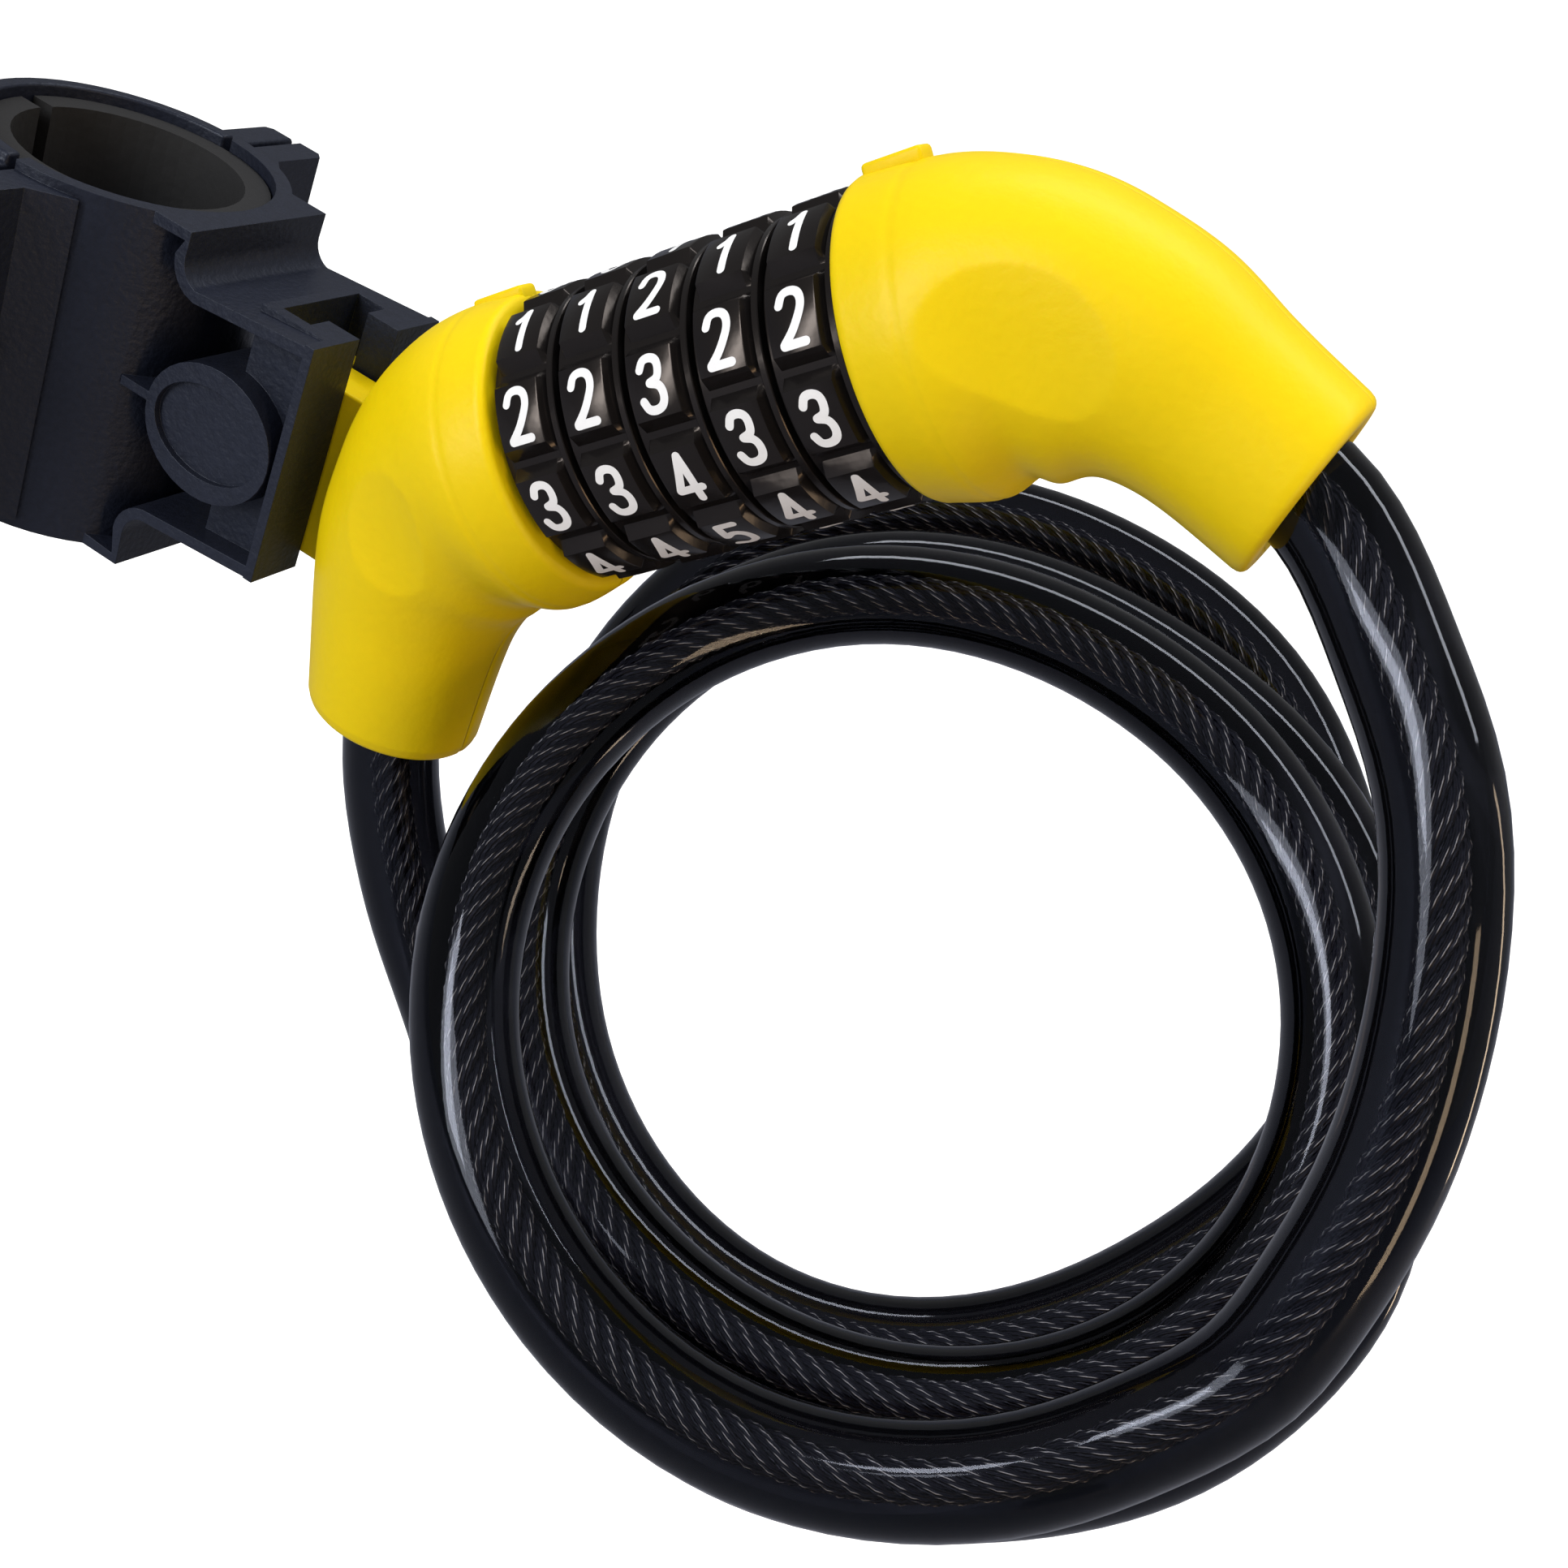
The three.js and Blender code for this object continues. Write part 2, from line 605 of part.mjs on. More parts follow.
// One number dial: ten raised blocks, a groove and a thin rim on its right side.
function dialRing(z0, turned) {
  const floorR = DIAL_R - 1.3;
  const rim = z0 + DIAL_PITCH - GAP;
  const body = lathe(
    [
      [DIAL_BORE_R, z0], [floorR, z0], [floorR, rim - 1.1], [DIAL_R - 0.7, rim - 0.8], [DIAL_R - 0.7, rim],
      [DIAL_BORE_R, rim],
    ],
    20,
  );
  const blocks = Array.from({ length: DIAL_STEPS }, (_, i) =>
    dialBlock(floorR, z0 + BLOCK_START, z0 + BLOCK_END, (i * 360) / DIAL_STEPS + turned),
  );
  return union([body, ...blocks]);
}

// A raised block with sloping ends, pulled out along the dial's axis.
function dialBlock(floorR, z0, z1, degrees) {
  const half = 3.45;
  const foot = half + 1.1;
  const outline = [
    [floorR - 1.5, -foot], [floorR - 0.1, -foot], [DIAL_R - 0.3, -half], [DIAL_R, 0], [DIAL_R - 0.3, half],
    [floorR - 0.1, foot], [floorR - 1.5, foot],
  ];
  const shape = new THREE.Shape(outline.map(([x, y]) => new THREE.Vector2(x, y)));
  const g = new THREE.ExtrudeGeometry(shape, { depth: z1 - z0, bevelEnabled: false });
  g.translate(0, 0, z0);
  g.rotateZ(degrees * RAD);
  return solid(g);
}

// The code wheel inside a dial: a recess where the pin's tooth rests, and a gate through
// the flange beside it.
function codeWheel(z0) {
  const flangeEnd = z0 + DIAL_PITCH - 3.5;
  const end = z0 + DIAL_PITCH - GAP;
  const first = z0 === 0 ? z0 + 2.1 : z0;
  const outline = [
    [BARREL_R + GAP, first], [WHEEL_R, first], [WHEEL_R, end], [TOOTH_TIP_R + GAP, end],
    [TOOTH_TIP_R + GAP, flangeEnd], [BARREL_R + GAP, flangeEnd],
  ];
  const gate = box([0, -TOOTH_W / 2 - GAP, z0 - 1], [TOOTH_TIP_R + GAP, TOOTH_W / 2 + GAP, flangeEnd + 0.5]);
  return lathe(outline, 20).subtract(gate);
}

function makeDials(group) {
  for (let i = 0; i < DIALS; i += 1) {
    const z0 = i * DIAL_PITCH;
    place("dial_" + (i + 1), dialRing(z0, DIAL_TURNED[i]), GLOSS_BLACK, group);
    place("code_wheel_" + (i + 1), codeWheel(z0), BRASS, group);
  }
}

// ---------------------------------------------------------------- cable
class CordCurve extends THREE.CatmullRomCurve3 {
  constructor(points) {
    super(points.map((p) => V(...p)), false, "centripetal");
  }
}

// A round cord along a hand-laid list of points.
function cord(points) {
  const curve = new CordCurve(points);
  const shape = new THREE.Shape();
  shape.absarc(0, 0, CABLE_R, 0, 2 * Math.PI);
  const g = new THREE.ExtrudeGeometry(shape, {
    extrudePath: curve,
    steps: Math.round(curve.getLength() / 9),
    curveSegments: CABLE_SIDES,
    bevelEnabled: false,
  });
  return solid(g);
}

// The coil's outer shape: one closed ring, scalloped turn by turn, and leaned so that each
// turn stands behind and above the one in front.
function coilRing() {
  const outer = [];
  const inner = [];
  COIL_TURN_R.forEach((radius, turn) => {
    for (const a of [-50, 0, 50]) {
      const z = COIL_FRONT + turn * COIL_STEP + CABLE_R * Math.sin(a * RAD);
      const out = CABLE_R * Math.cos(a * RAD);
      outer.push([radius + out, z]);
      inner.unshift([radius - out, z]);
    }
  });
  const ring = lathe([...outer, ...inner], 40);
  const lean = new THREE.Matrix4().set(1, 0, 0, 0, 0, 1, -COIL_LEAN, 0, 0, 0, 1, 0, 0, 0, 0, 1);
  const g = geometryOf(ring).applyMatrix4(lean);
  g.rotateX(-(90 + COIL_TILT) * RAD);
  g.translate(...COIL_CENTRE);
  return solid(g);
}

function makeCable() {
  place("cable_right", cord(ROUTE_RIGHT), VINYL);
  place("cable_left", cord(ROUTE_LEFT), VINYL);
  place("cable_coil", coilRing(), VINYL);
}

// ---------------------------------------------------------------- build
makeBracket();
makeClampHardware();
makeLiner();
makeShells();
makeTongue();
makeFerrules();
const core = coreGroup();
makePin(core);
makeBarrel(core);
makeDials(core);
makeCable();

export default root;
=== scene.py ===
"""Looks of the coil cable lock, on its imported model. Lengths are in metres."""
import json
import math

import bmesh
import bpy
import numpy as np
from mathutils import Matrix, Vector


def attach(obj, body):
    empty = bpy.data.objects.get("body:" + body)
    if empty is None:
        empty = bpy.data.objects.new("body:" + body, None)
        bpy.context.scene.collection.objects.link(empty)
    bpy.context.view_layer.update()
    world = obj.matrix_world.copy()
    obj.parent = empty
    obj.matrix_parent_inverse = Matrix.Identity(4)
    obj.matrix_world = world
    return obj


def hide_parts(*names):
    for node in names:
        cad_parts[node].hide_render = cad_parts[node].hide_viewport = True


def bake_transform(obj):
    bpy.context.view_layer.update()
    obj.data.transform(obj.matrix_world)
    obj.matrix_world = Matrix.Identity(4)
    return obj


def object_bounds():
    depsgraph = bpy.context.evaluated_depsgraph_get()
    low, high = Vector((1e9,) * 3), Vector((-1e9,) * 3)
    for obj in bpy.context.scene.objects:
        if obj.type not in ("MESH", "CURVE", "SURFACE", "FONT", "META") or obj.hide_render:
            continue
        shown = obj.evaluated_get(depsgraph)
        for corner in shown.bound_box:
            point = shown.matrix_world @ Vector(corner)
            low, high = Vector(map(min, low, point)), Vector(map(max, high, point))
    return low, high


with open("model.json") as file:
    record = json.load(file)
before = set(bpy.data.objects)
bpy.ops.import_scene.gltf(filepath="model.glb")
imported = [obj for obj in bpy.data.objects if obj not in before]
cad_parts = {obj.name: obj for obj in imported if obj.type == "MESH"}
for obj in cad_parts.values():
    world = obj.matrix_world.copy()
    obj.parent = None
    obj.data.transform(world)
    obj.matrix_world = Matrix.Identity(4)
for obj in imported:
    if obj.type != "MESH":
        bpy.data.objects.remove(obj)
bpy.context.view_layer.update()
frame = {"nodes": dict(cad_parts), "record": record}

MM = 0.001
JOINTS = {joint["name"]: joint for joint in frame["record"]["behaviour"]["joints"]}


# ---------------------------------------------------------------- camera, floor and light
# where a fitting program put the photo's camera, from the lock's own shape
CAMERA_PLACE = Vector((0.15732, -0.19110, 0.10781))
CAMERA_RIGHT = Vector((0.82483, 0.43499, 0.36116))
CAMERA_AHEAD = Vector((-0.22599, 0.83921, -0.49463))
CAMERA_LENS = 45.9
FLOOR_HALF = 40
WORLD_LIGHT = 0.35
WORLD_SEEN = 1.0
WORLD_MIRRORED = 0.2
FLOOR_DROP = 0.12  # the floor lies this far below the lock, which hangs on its post


def make_camera():
    data = bpy.data.cameras.new("camera")
    data.lens = CAMERA_LENS
    data.sensor_width = 36
    data.clip_start = 0.01
    camera = bpy.data.objects.new("camera", data)
    up = CAMERA_RIGHT.cross(CAMERA_AHEAD)
    camera.matrix_world = Matrix((CAMERA_RIGHT, up, -CAMERA_AHEAD)).transposed().to_4x4()
    camera.location = CAMERA_PLACE
    bpy.context.scene.collection.objects.link(camera)
    bpy.context.scene.camera = camera


def make_floor():
    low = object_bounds()[0].z - FLOOR_DROP
    half = FLOOR_HALF
    corners = [(-half, -half, low), (half, -half, low), (half, half, low), (-half, half, low)]
    floor = new_object("floor", corners, [(0, 1, 2, 3)])
    floor.data.materials.append(floor_paint())


def make_world():
    """A white room to the camera, which lights the lock less and shows dim in its gloss."""
    world = bpy.data.worlds.new("studio")
    world.use_nodes = True
    nodes = world.node_tree.nodes
    background = nodes["Background"]
    background.inputs["Color"].default_value = (0.97, 0.98, 1.0, 1)
    path = nodes.new("ShaderNodeLightPath")
    shown = nodes.new("ShaderNodeMapRange")
    shown.inputs["To Min"].default_value = WORLD_LIGHT
    shown.inputs["To Max"].default_value = WORLD_SEEN
    mirrored = nodes.new("ShaderNodeMapRange")
    mirrored.inputs["To Max"].default_value = WORLD_MIRRORED
    links = world.node_tree.links
    links.new(path.outputs["Is Camera Ray"], shown.inputs["Value"])
    links.new(path.outputs["Is Glossy Ray"], mirrored.inputs["Value"])
    links.new(shown.outputs["Result"], mirrored.inputs["To Min"])
    links.new(mirrored.outputs["Result"], background.inputs["Strength"])
    bpy.context.scene.world = world
    bpy.context.scene.view_settings.view_transform = "Standard"


def add_area_light(name, place, target, size, power, colour=(1, 1, 1)):
    data = bpy.data.lights.new(name, "AREA")
    data.shape = "RECTANGLE"
    data.size, data.size_y = size
    data.energy = power
    data.color = colour
    light = bpy.data.objects.new(name, data)
    light.location = place
    light.rotation_euler = (Vector(target) - Vector(place)).to_track_quat("-Z", "Y").to_euler()
    bpy.context.scene.collection.objects.link(light)


def add_overhead_light(strength):
    """A broad ceiling light that lights the whole floor alike."""
    data = bpy.data.lights.new("overhead", "SUN")
    data.energy = strength
    data.angle = math.radians(50)
    light = bpy.data.objects.new("overhead", data)
    light.rotation_euler = (math.radians(-8), math.radians(6), 0)
    light.visible_glossy = False
    light.visible_transmission = False
    bpy.context.scene.collection.objects.link(light)


def make_lights():
    middle = (0.1, 0, 0)
    add_overhead_light(1.45)
    add_area_light("key", (-0.3, -0.75, 0.42), middle, (0.13, 0.8), 3.6)
    add_area_light("front_fill", (-0.3, -0.8, 0.3), middle, (0.3, 0.8), 3.6)
    add_area_light("top_strip", (0.15, 0.35, 0.8), middle, (1.2, 0.11), 3.4)
    add_area_light("warm_strip", (0.75, 0.35, 0.1), middle, (0.05, 0.7), 0.8, (1.0, 0.75, 0.5))
    add_area_light("right_fill", (0.9, -0.35, 0.05), middle, (0.14, 0.8), 2.6, (1.0, 0.7, 0.4))


# ---------------------------------------------------------------- materials
def new_material(name):
    made = bpy.data.materials.new(name)
    made.use_nodes = True
    return made, made.node_tree.nodes, made.node_tree.links


def add_noise(nodes, links, scale, detail=2.0):
    """A noise pattern in the piece's own coordinates, scale being its spots per metre."""
    place = nodes.new("ShaderNodeTexCoord")
    noise = nodes.new("ShaderNodeTexNoise")
    noise.inputs["Scale"].default_value = scale
    noise.inputs["Detail"].default_value = detail
    links.new(place.outputs["Object"], noise.inputs["Vector"])
    return noise


def calculate(nodes, links, operation, *values):
    """What a maths node makes of its inputs, each a number or another node's output."""
    node = nodes.new("ShaderNodeMath")
    node.operation = operation
    for socket, value in zip(node.inputs, values):
        if isinstance(value, (int, float)):
            socket.default_value = value
        else:
            links.new(value, socket)
    return node.outputs["Value"]


def show_instead(made, ray, shader):
    """Makes rays of one kind, such as shadow rays, see another shader in a material's place."""
    nodes, links = made.node_tree.nodes, made.node_tree.links
    path = nodes.new("ShaderNodeLightPath")
    mix = nodes.new("ShaderNodeMixShader")
    links.new(path.outputs[ray], mix.inputs["Fac"])
    links.new(nodes["Principled BSDF"].outputs["BSDF"], mix.inputs[1])
    links.new(shader.outputs["BSDF"], mix.inputs[2])
    links.new(mix.outputs["Shader"], nodes["Material Output"].inputs["Surface"])


def grained(
    name, colour, roughness, scale, depth, metal=0.0, mottle=0.06, gloss=0.5, glow=0.0, tint=(1, 1, 1)
):
    """A solid colour with a fine noise grain in its height and a fainter one in its colour."""
    made, nodes, links = new_material(name)
    shader = nodes["Principled BSDF"]
    shader.inputs["Roughness"].default_value = roughness
    shader.inputs["Metallic"].default_value = metal
    shader.inputs["Specular IOR Level"].default_value = gloss
    shader.inputs["Specular Tint"].default_value = (*tint, 1)
    shader.inputs["Subsurface Weight"].default_value = glow
    shader.inputs["Subsurface Scale"].default_value = 1.5 * MM
    noise = add_noise(nodes, links, scale)
    blend = nodes.new("ShaderNodeMix")
    blend.data_type = "RGBA"
    blend.inputs["A"].default_value = (*[c * (1 - mottle) for c in colour], 1)
    blend.inputs["B"].default_value = (*[min(1, c * (1 + mottle)) for c in colour], 1)
    links.new(noise.outputs["Fac"], blend.inputs["Factor"])
    links.new(blend.outputs["Result"], shader.inputs["Base Color"])
    bump = nodes.new("ShaderNodeBump")
    bump.inputs["Distance"].default_value = depth
    links.new(noise.outputs["Fac"], bump.inputs["Height"])
    links.new(bump.outputs["Normal"], shader.inputs["Normal"])
    return made


def clear_vinyl():
    """Smoky clear vinyl, darker where it is looked through at a slant; some light reaches the rope."""
    made, nodes, links = new_material("smoky_vinyl")
    shader = nodes["Principled BSDF"]
    shader.inputs["Roughness"].default_value = 0.06
    shader.inputs["IOR"].default_value = 1.45
    shader.inputs["Transmission Weight"].default_value = 1.0
    shader.inputs["Specular Tint"].default_value = (0.6, 0.64, 0.76, 1)
    slant = nodes.new("ShaderNodeLayerWeight")
    slant.inputs["Blend"].default_value = 0.5
    smoke = nodes.new("ShaderNodeValToRGB")
    smoke.color_ramp.elements[0].color = (0.55, 0.55, 0.6, 1)
    smoke.color_ramp.elements[1].color = (0.01, 0.01, 0.012, 1)
    middle = smoke.color_ramp.elements.new(0.13)
    middle.color = (0.4, 0.4, 0.44, 1)
    outer = smoke.color_ramp.elements.new(0.3)
    outer.color = (0.06, 0.06, 0.07, 1)
    links.new(slant.outputs["Facing"], smoke.inputs["Fac"])
    side = nodes.new("ShaderNodeNewGeometry")
    leaving = nodes.new("ShaderNodeMix")
    leaving.data_type = "RGBA"
    leaving.inputs["B"].default_value = (0.0005, 0.0005, 0.0007, 1)
    links.new(side.outputs["Backfacing"], leaving.inputs["Factor"])
    links.new(smoke.outputs["Color"], leaving.inputs["A"])
    links.new(leaving.outputs["Result"], shader.inputs["Base Color"])
    ripple = add_noise(nodes, links, 30, detail=0)
    bump = nodes.new("ShaderNodeBump")
    bump.inputs["Distance"].default_value = 0.0005
    bump.inputs["Strength"].default_value = 0.3
    links.new(ripple.outputs["Fac"], bump.inputs["Height"])
    links.new(bump.outputs["Normal"], shader.inputs["Normal"])
    through = nodes.new("ShaderNodeBsdfTransparent")
    through.inputs["Color"].default_value = (0.75, 0.75, 0.78, 1)
    show_instead(made, "Is Shadow Ray", through)
    return made


def rope_steel():
    """Steel strands with slantwise wires: a painted glint on each strand's outer crest, and painted shade on
    its flanks.
    """
    made, nodes, links = new_material("rope_steel")
    shader = nodes["Principled BSDF"]
    shader.inputs["Metallic"].default_value = 0.5
    shader.inputs["Roughness"].default_value = 0.3
    place = nodes.new("ShaderNodeUVMap")
    split = nodes.new("ShaderNodeSeparateXYZ")
    links.new(place.outputs["UV"], split.inputs["Vector"])
    turned = calculate(nodes, links, "MULTIPLY", split.outputs["Y"], 2 * math.pi)
    twist = calculate(nodes, links, "MULTIPLY", turned, WIRES)
    along = calculate(nodes, links, "MULTIPLY", split.outputs["X"], 2 * math.pi / WIRE_SPACING)
    wave = calculate(nodes, links, "SINE", calculate(nodes, links, "ADD", along, twist))
    # the slanted wires; their bright colour is a painted glint, let through only on the crests
    lines = nodes.new("ShaderNodeValToRGB")
    lines.color_ramp.elements[0].position = 0.62
    lines.color_ramp.elements[0].color = (0.05, 0.053, 0.075, 1)
    lines.color_ramp.elements[1].position = 0.95
    lines.color_ramp.elements[1].color = (0.95, 0.95, 0.97, 1)
    links.new(wave, lines.inputs["Fac"])
    # painted glint mask: 1 on each strand's outer crest, where its first edge faces away from the rope's
    # middle, and 0 on its flanks
    painted_glint_crest = nodes.new("ShaderNodeMapRange")
    painted_glint_crest.inputs["From Min"].default_value = 0.9
    painted_glint_crest.inputs["From Max"].default_value = 0.98
    links.new(calculate(nodes, links, "COSINE", turned), painted_glint_crest.inputs["Value"])
    # painted shade: the dark colour A covers the strands' flanks and the gaps between them
    shade = nodes.new("ShaderNodeMix")
    shade.data_type = "RGBA"
    shade.inputs["A"].default_value = (0.035, 0.037, 0.055, 1)
    links.new(painted_glint_crest.outputs["Result"], shade.inputs["Factor"])
    links.new(lines.outputs["Color"], shade.inputs["B"])
    links.new(shade.outputs["Result"], shader.inputs["Base Color"])
    bump = nodes.new("ShaderNodeBump")
    bump.inputs["Distance"].default_value = 0.0002
    links.new(wave, bump.inputs["Height"])
    links.new(bump.outputs["Normal"], shader.inputs["Normal"])
    return made


def floor_paint():
    """Pale paint that throws less light back up at the lock than it shows."""
    made = grained("floor_paint", (0.2, 0.21, 0.25), 0.9, 40, 0.0002, mottle=0.01, gloss=0.0)
    nodes = made.node_tree.nodes
    pale = nodes.new("ShaderNodeBsdfPrincipled")
    pale.inputs["Base Color"].default_value = (0.94, 0.94, 0.94, 1)
    pale.inputs["Roughness"].default_value = 0.9
    pale.inputs["Specular IOR Level"].default_value = 0.0
    pale.inputs["Emission Color"].default_value = (1, 1, 1, 1)
    pale.inputs["Emission Strength"].default_value = 0.28
    show_instead(made, "Is Camera Ray", pale)
    return made


# ---------------------------------------------------------------- mesh helpers
def new_object(name, points, faces, smooth=False):
    mesh = bpy.data.meshes.new(name)
    mesh.from_pydata([tuple(map(float, p)) for p in points], [], faces)
    mesh.update()
    if smooth:
        mesh.shade_smooth()
    made = bpy.data.objects.new(name, mesh)
    bpy.context.scene.collection.objects.link(made)
    return made


def unit(v):
    """A vector, or each of an array of them, at length 1."""
    return v / np.linalg.norm(v, axis=-1, keepdims=True)


def smooth_line(points, start, end, step):
    """Points about step apart on a smooth curve through the given ones, with its end directions."""
    p = np.array(points, float)
    gap = np.linalg.norm(np.diff(p, axis=0), axis=1)
    count = len(p)
    system = np.eye(count)
    right = np.zeros((count, p.shape[1]))
    right[0] = unit(np.array(start, float))
    right[-1] = unit(np.array(end, float))
    for i in range(1, count - 1):
        system[i, i - 1] = 1 / gap[i - 1]
        system[i, i] = 2 / gap[i - 1] + 2 / gap[i]
        system[i, i + 1] = 1 / gap[i]
        right[i] = 3 * (p[i] - p[i - 1]) / gap[i - 1] ** 2 + 3 * (p[i + 1] - p[i]) / gap[i] ** 2
    slope = np.linalg.solve(system, right)
    line = []
    for i, length in enumerate(gap):
        pieces = max(1, round(length / step))
        for t in np.arange(pieces)[:, None] / pieces:
            line.append(
                (1 + 2 * t) * (1 - t) ** 2 * p[i]
                + t * (1 - t) ** 2 * length * slope[i]
                + t * t * (3 - 2 * t) * p[i + 1]
                - t * t * (1 - t) * length * slope[i + 1]
            )
    line.append(p[-1])
    return np.array(line)


def carried_frames(line):
    """Two cross directions at each point of a line, carried along it without twisting."""
    ahead = unit(np.gradient(line, axis=0))
    first = np.cross(ahead[0], (0.3, 1, 0.2))
    across = [unit(first)]
    for t in ahead[1:]:
        side = across[-1] - t * (across[-1] @ t)
        across.append(unit(side))
    across = np.array(across)
    return across, np.cross(ahead, across)


def tube_mesh(line, radius, sides, towards=None):
    """Points and faces of a closed round tube along a line. Its first edge faces towards, if given."""
    across, over = carried_frames(line)
    if towards is not None:
        ahead = unit(np.gradient(line, axis=0))
        across = unit(towards - ahead * np.sum(towards * ahead, axis=1)[:, None])
        over = np.cross(ahead, across)
    turn = np.arange(sides) * 2 * math.pi / sides
    rings = line[:, None] + radius * (
        np.cos(turn)[None, :, None] * across[:, None] + np.sin(turn)[None, :, None] * over[:, None]
    )
    faces = []
    for i in range(len(line) - 1):
        for k in range(sides):
            a = i * sides + k
            b = i * sides + (k + 1) % sides
            faces.append((a, b, b + sides, a + sides))
    faces.append(tuple(reversed(range(sides))))
    faces.append(tuple(len(line) * sides - sides + k for k in range(sides)))
    return rings.reshape(-1, 3), faces


def joined_tubes(name, lines, radius, sides, centre):
    """One mesh of several tubes, each with its first edge away from the centre line."""
    points = []
    faces = []
    for line in lines:
        more, its_faces = tube_mesh(line, radius, sides, line - centre)
        offset = sum(len(p) for p in points)
        points.append(more)
        faces += [tuple(i + offset for i in face) for face in its_faces]
    return new_object(name, np.concatenate(points), faces, smooth=True)


def rounded_box(name, half, radius):
    """A box with rounded edges about the origin, half being its half sizes."""
    corners = [(x, y, z) for x in (-1, 1) for y in (-1, 1) for z in (-1, 1)]
    points = [(x * half[0], y * half[1], z * half[2]) for x, y, z in corners]
    faces = [(0, 1, 3, 2), (4, 6, 7, 5), (0, 4, 5, 1), (2, 3, 7, 6), (0, 2, 6, 4), (1, 5, 7, 3)]
    made = new_object(name, points, faces)
    work = bmesh.new()
    work.from_mesh(made.data)
    bmesh.ops.bevel(
        work, geom=work.edges[:] + work.verts[:], offset=radius, segments=3, profile=0.5, affect="EDGES"
    )
    work.to_mesh(made.data)
    work.free()
    made.data.shade_smooth()
    return made


def outward(piece):
    """Turns a closed piece's faces outwards."""
    work = bmesh.new()
    work.from_mesh(piece.data)
    bmesh.ops.recalc_face_normals(work, faces=work.faces)
    work.to_mesh(piece.data)
    work.free()


def smooth_value(knots, x):
    """A Catmull-Rom curve through (x, value) knots, read at x."""
    xs = [k[0] for k in knots]
    i = min(max(int(np.searchsorted(xs, x)) - 1, 0), len(knots) - 2)
    slopes = []
    for j in (i, i + 1):
        low = knots[max(j - 1, 0)]
        high = knots[min(j + 1, len(knots) - 1)]
        slopes.append((high[1] - low[1]) / (high[0] - low[0]))
    width = xs[i + 1] - xs[i]
    t = min(max((x - xs[i]) / width, 0), 1)
    return (
        (1 + 2 * t) * (1 - t) ** 2 * knots[i][1] + t * (1 - t) ** 2 * width * slopes[0]
        + t * t * (3 - 2 * t) * knots[i + 1][1] - t * t * (1 - t) * width * slopes[1]
    )


def smooth_step(low, high, x):
    t = np.clip((x - low) / (high - low), 0, 1)
    return t * t * (3 - 2 * t)


# ---------------------------------------------------------------- the cable
CABLE_RADIUS = 0.006
# ROUTE_LEFT, COIL_RADII and COIL_DEPTHS are what a fitting program made of points measured on the
# photo's cable, and ROUTE_RIGHT was typed from such a fit. They weren't chosen by hand or worked
# out from driving dimensions.
ROUTE_RIGHT = [
    (0.1272, 0, 0.05554), (0.134, 0, 0.05458), (0.141, 0, 0.0536), (0.1485, -0.0014, 0.0503),
    (0.156, -0.0044, 0.0453), (0.1654, -0.01, 0.0383), (0.1725, -0.0145, 0.0285),
    (0.1775, -0.0183, 0.017), (0.1806, -0.021, 0.004), (0.1813, -0.0236, -0.008),
]
COIL_LEAD_IN = (0.1805, -0.026, -0.0175)
COIL_CENTRE = np.array((0.133, -0.005, -0.018))
TILTED = 0.7071  # the coil leans back 45 degrees
COIL_BACK = np.array((0, TILTED, -TILTED))  # from turn to turn
COIL_LIFT = np.array((0, 0.0053, 0.0053))  # what the middle moves by in each turn
COIL_START = 30  # degrees, from +X, downwards in front
COIL_STEP = 15
KNOT_STEP = 60
# the coil's radius and its depth along COIL_BACK, in millimetres, at each KNOT_STEP degrees from
# COIL_START - KNOT_STEP
COIL_RADII = [
    50.7, 49.4, 51.2, 51.6, 49.9, 44.2, 43.3, 46.8, 49.9, 53.5, 53, 44.9, 46.1, 43.9, 52.8, 56.7, 61,
    49.7, 43.6, 64.5, 77,
]
COIL_DEPTHS = [
    -15.8, -10.6, -5.5, -8.7, -2.2, 3.8, 6.2, 6.9, 6.7, 8.8, 12.4, 16, 17.9, 19.9, 20.3, 22, 22.7, 26,
    29.9, 30.3, 29.5,
]
COIL_END = 1095
ROUTE_LEFT = [
    (0.1889, 0.0133, -0.0455), (0.1822, 0.0065, -0.061), (0.1683, -0.0009, -0.074),
    (0.1554, -0.0097, -0.077), (0.1367, -0.0228, -0.0719), (0.1237, -0.0259, -0.0685),
    (0.1089, -0.023, -0.0664), (0.0939, -0.0128, -0.0645), (0.0821, -0.0047, -0.0602),
    (0.0747, -0.0018, -0.0557), (0.0688, -0.0006, -0.0506), (0.0634, 0, -0.0438),
    (0.0587, 0, -0.0348), (0.0565, 0, -0.0273), (0.0561, 0, -0.021), (0.0561, 0, -0.0122),
]
COVER_SIDES = 28
COVER_STEP = 0.003
ROPE_STEP = 0.0012
ROPE_RADIUS = 0.00166
STRAND_RADIUS = 0.00064
STRANDS = 5
STRAND_PITCH = 0.0145
STRAND_SIDES = 12
WIRES = 10  # per strand
WIRE_SPACING = 0.0013  # from wire to wire, along a strand


def between_knots(values, degrees):
    """The value at an angle on a smooth curve through values that stand KNOT_STEP degrees apart."""
    t = (degrees - COIL_START + KNOT_STEP) / KNOT_STEP
    i = min(max(int(t), 1), len(values) - 3)
    u = t - i
    a, b, c, d = values[i - 1 : i + 3]
    return 0.5 * (2 * b + (c - a) * u + (2 * a - 5 * b + 4 * c - d) * u**2 + (3 * b - a - 3 * c + d) * u**3)


def coil_points():
    points = []
    for degrees in range(COIL_START, COIL_END + 1, COIL_STEP):
        turn = math.radians(degrees)
        radius = between_knots(COIL_RADII, degrees) * MM
        depth = between_knots(COIL_DEPTHS, degrees) * MM
        out = np.array((math.cos(turn), -math.sin(turn) * TILTED, -math.sin(turn) * TILTED))
        points.append(COIL_CENTRE + COIL_LIFT * degrees / 360 + radius * out + depth * COIL_BACK)
    return points


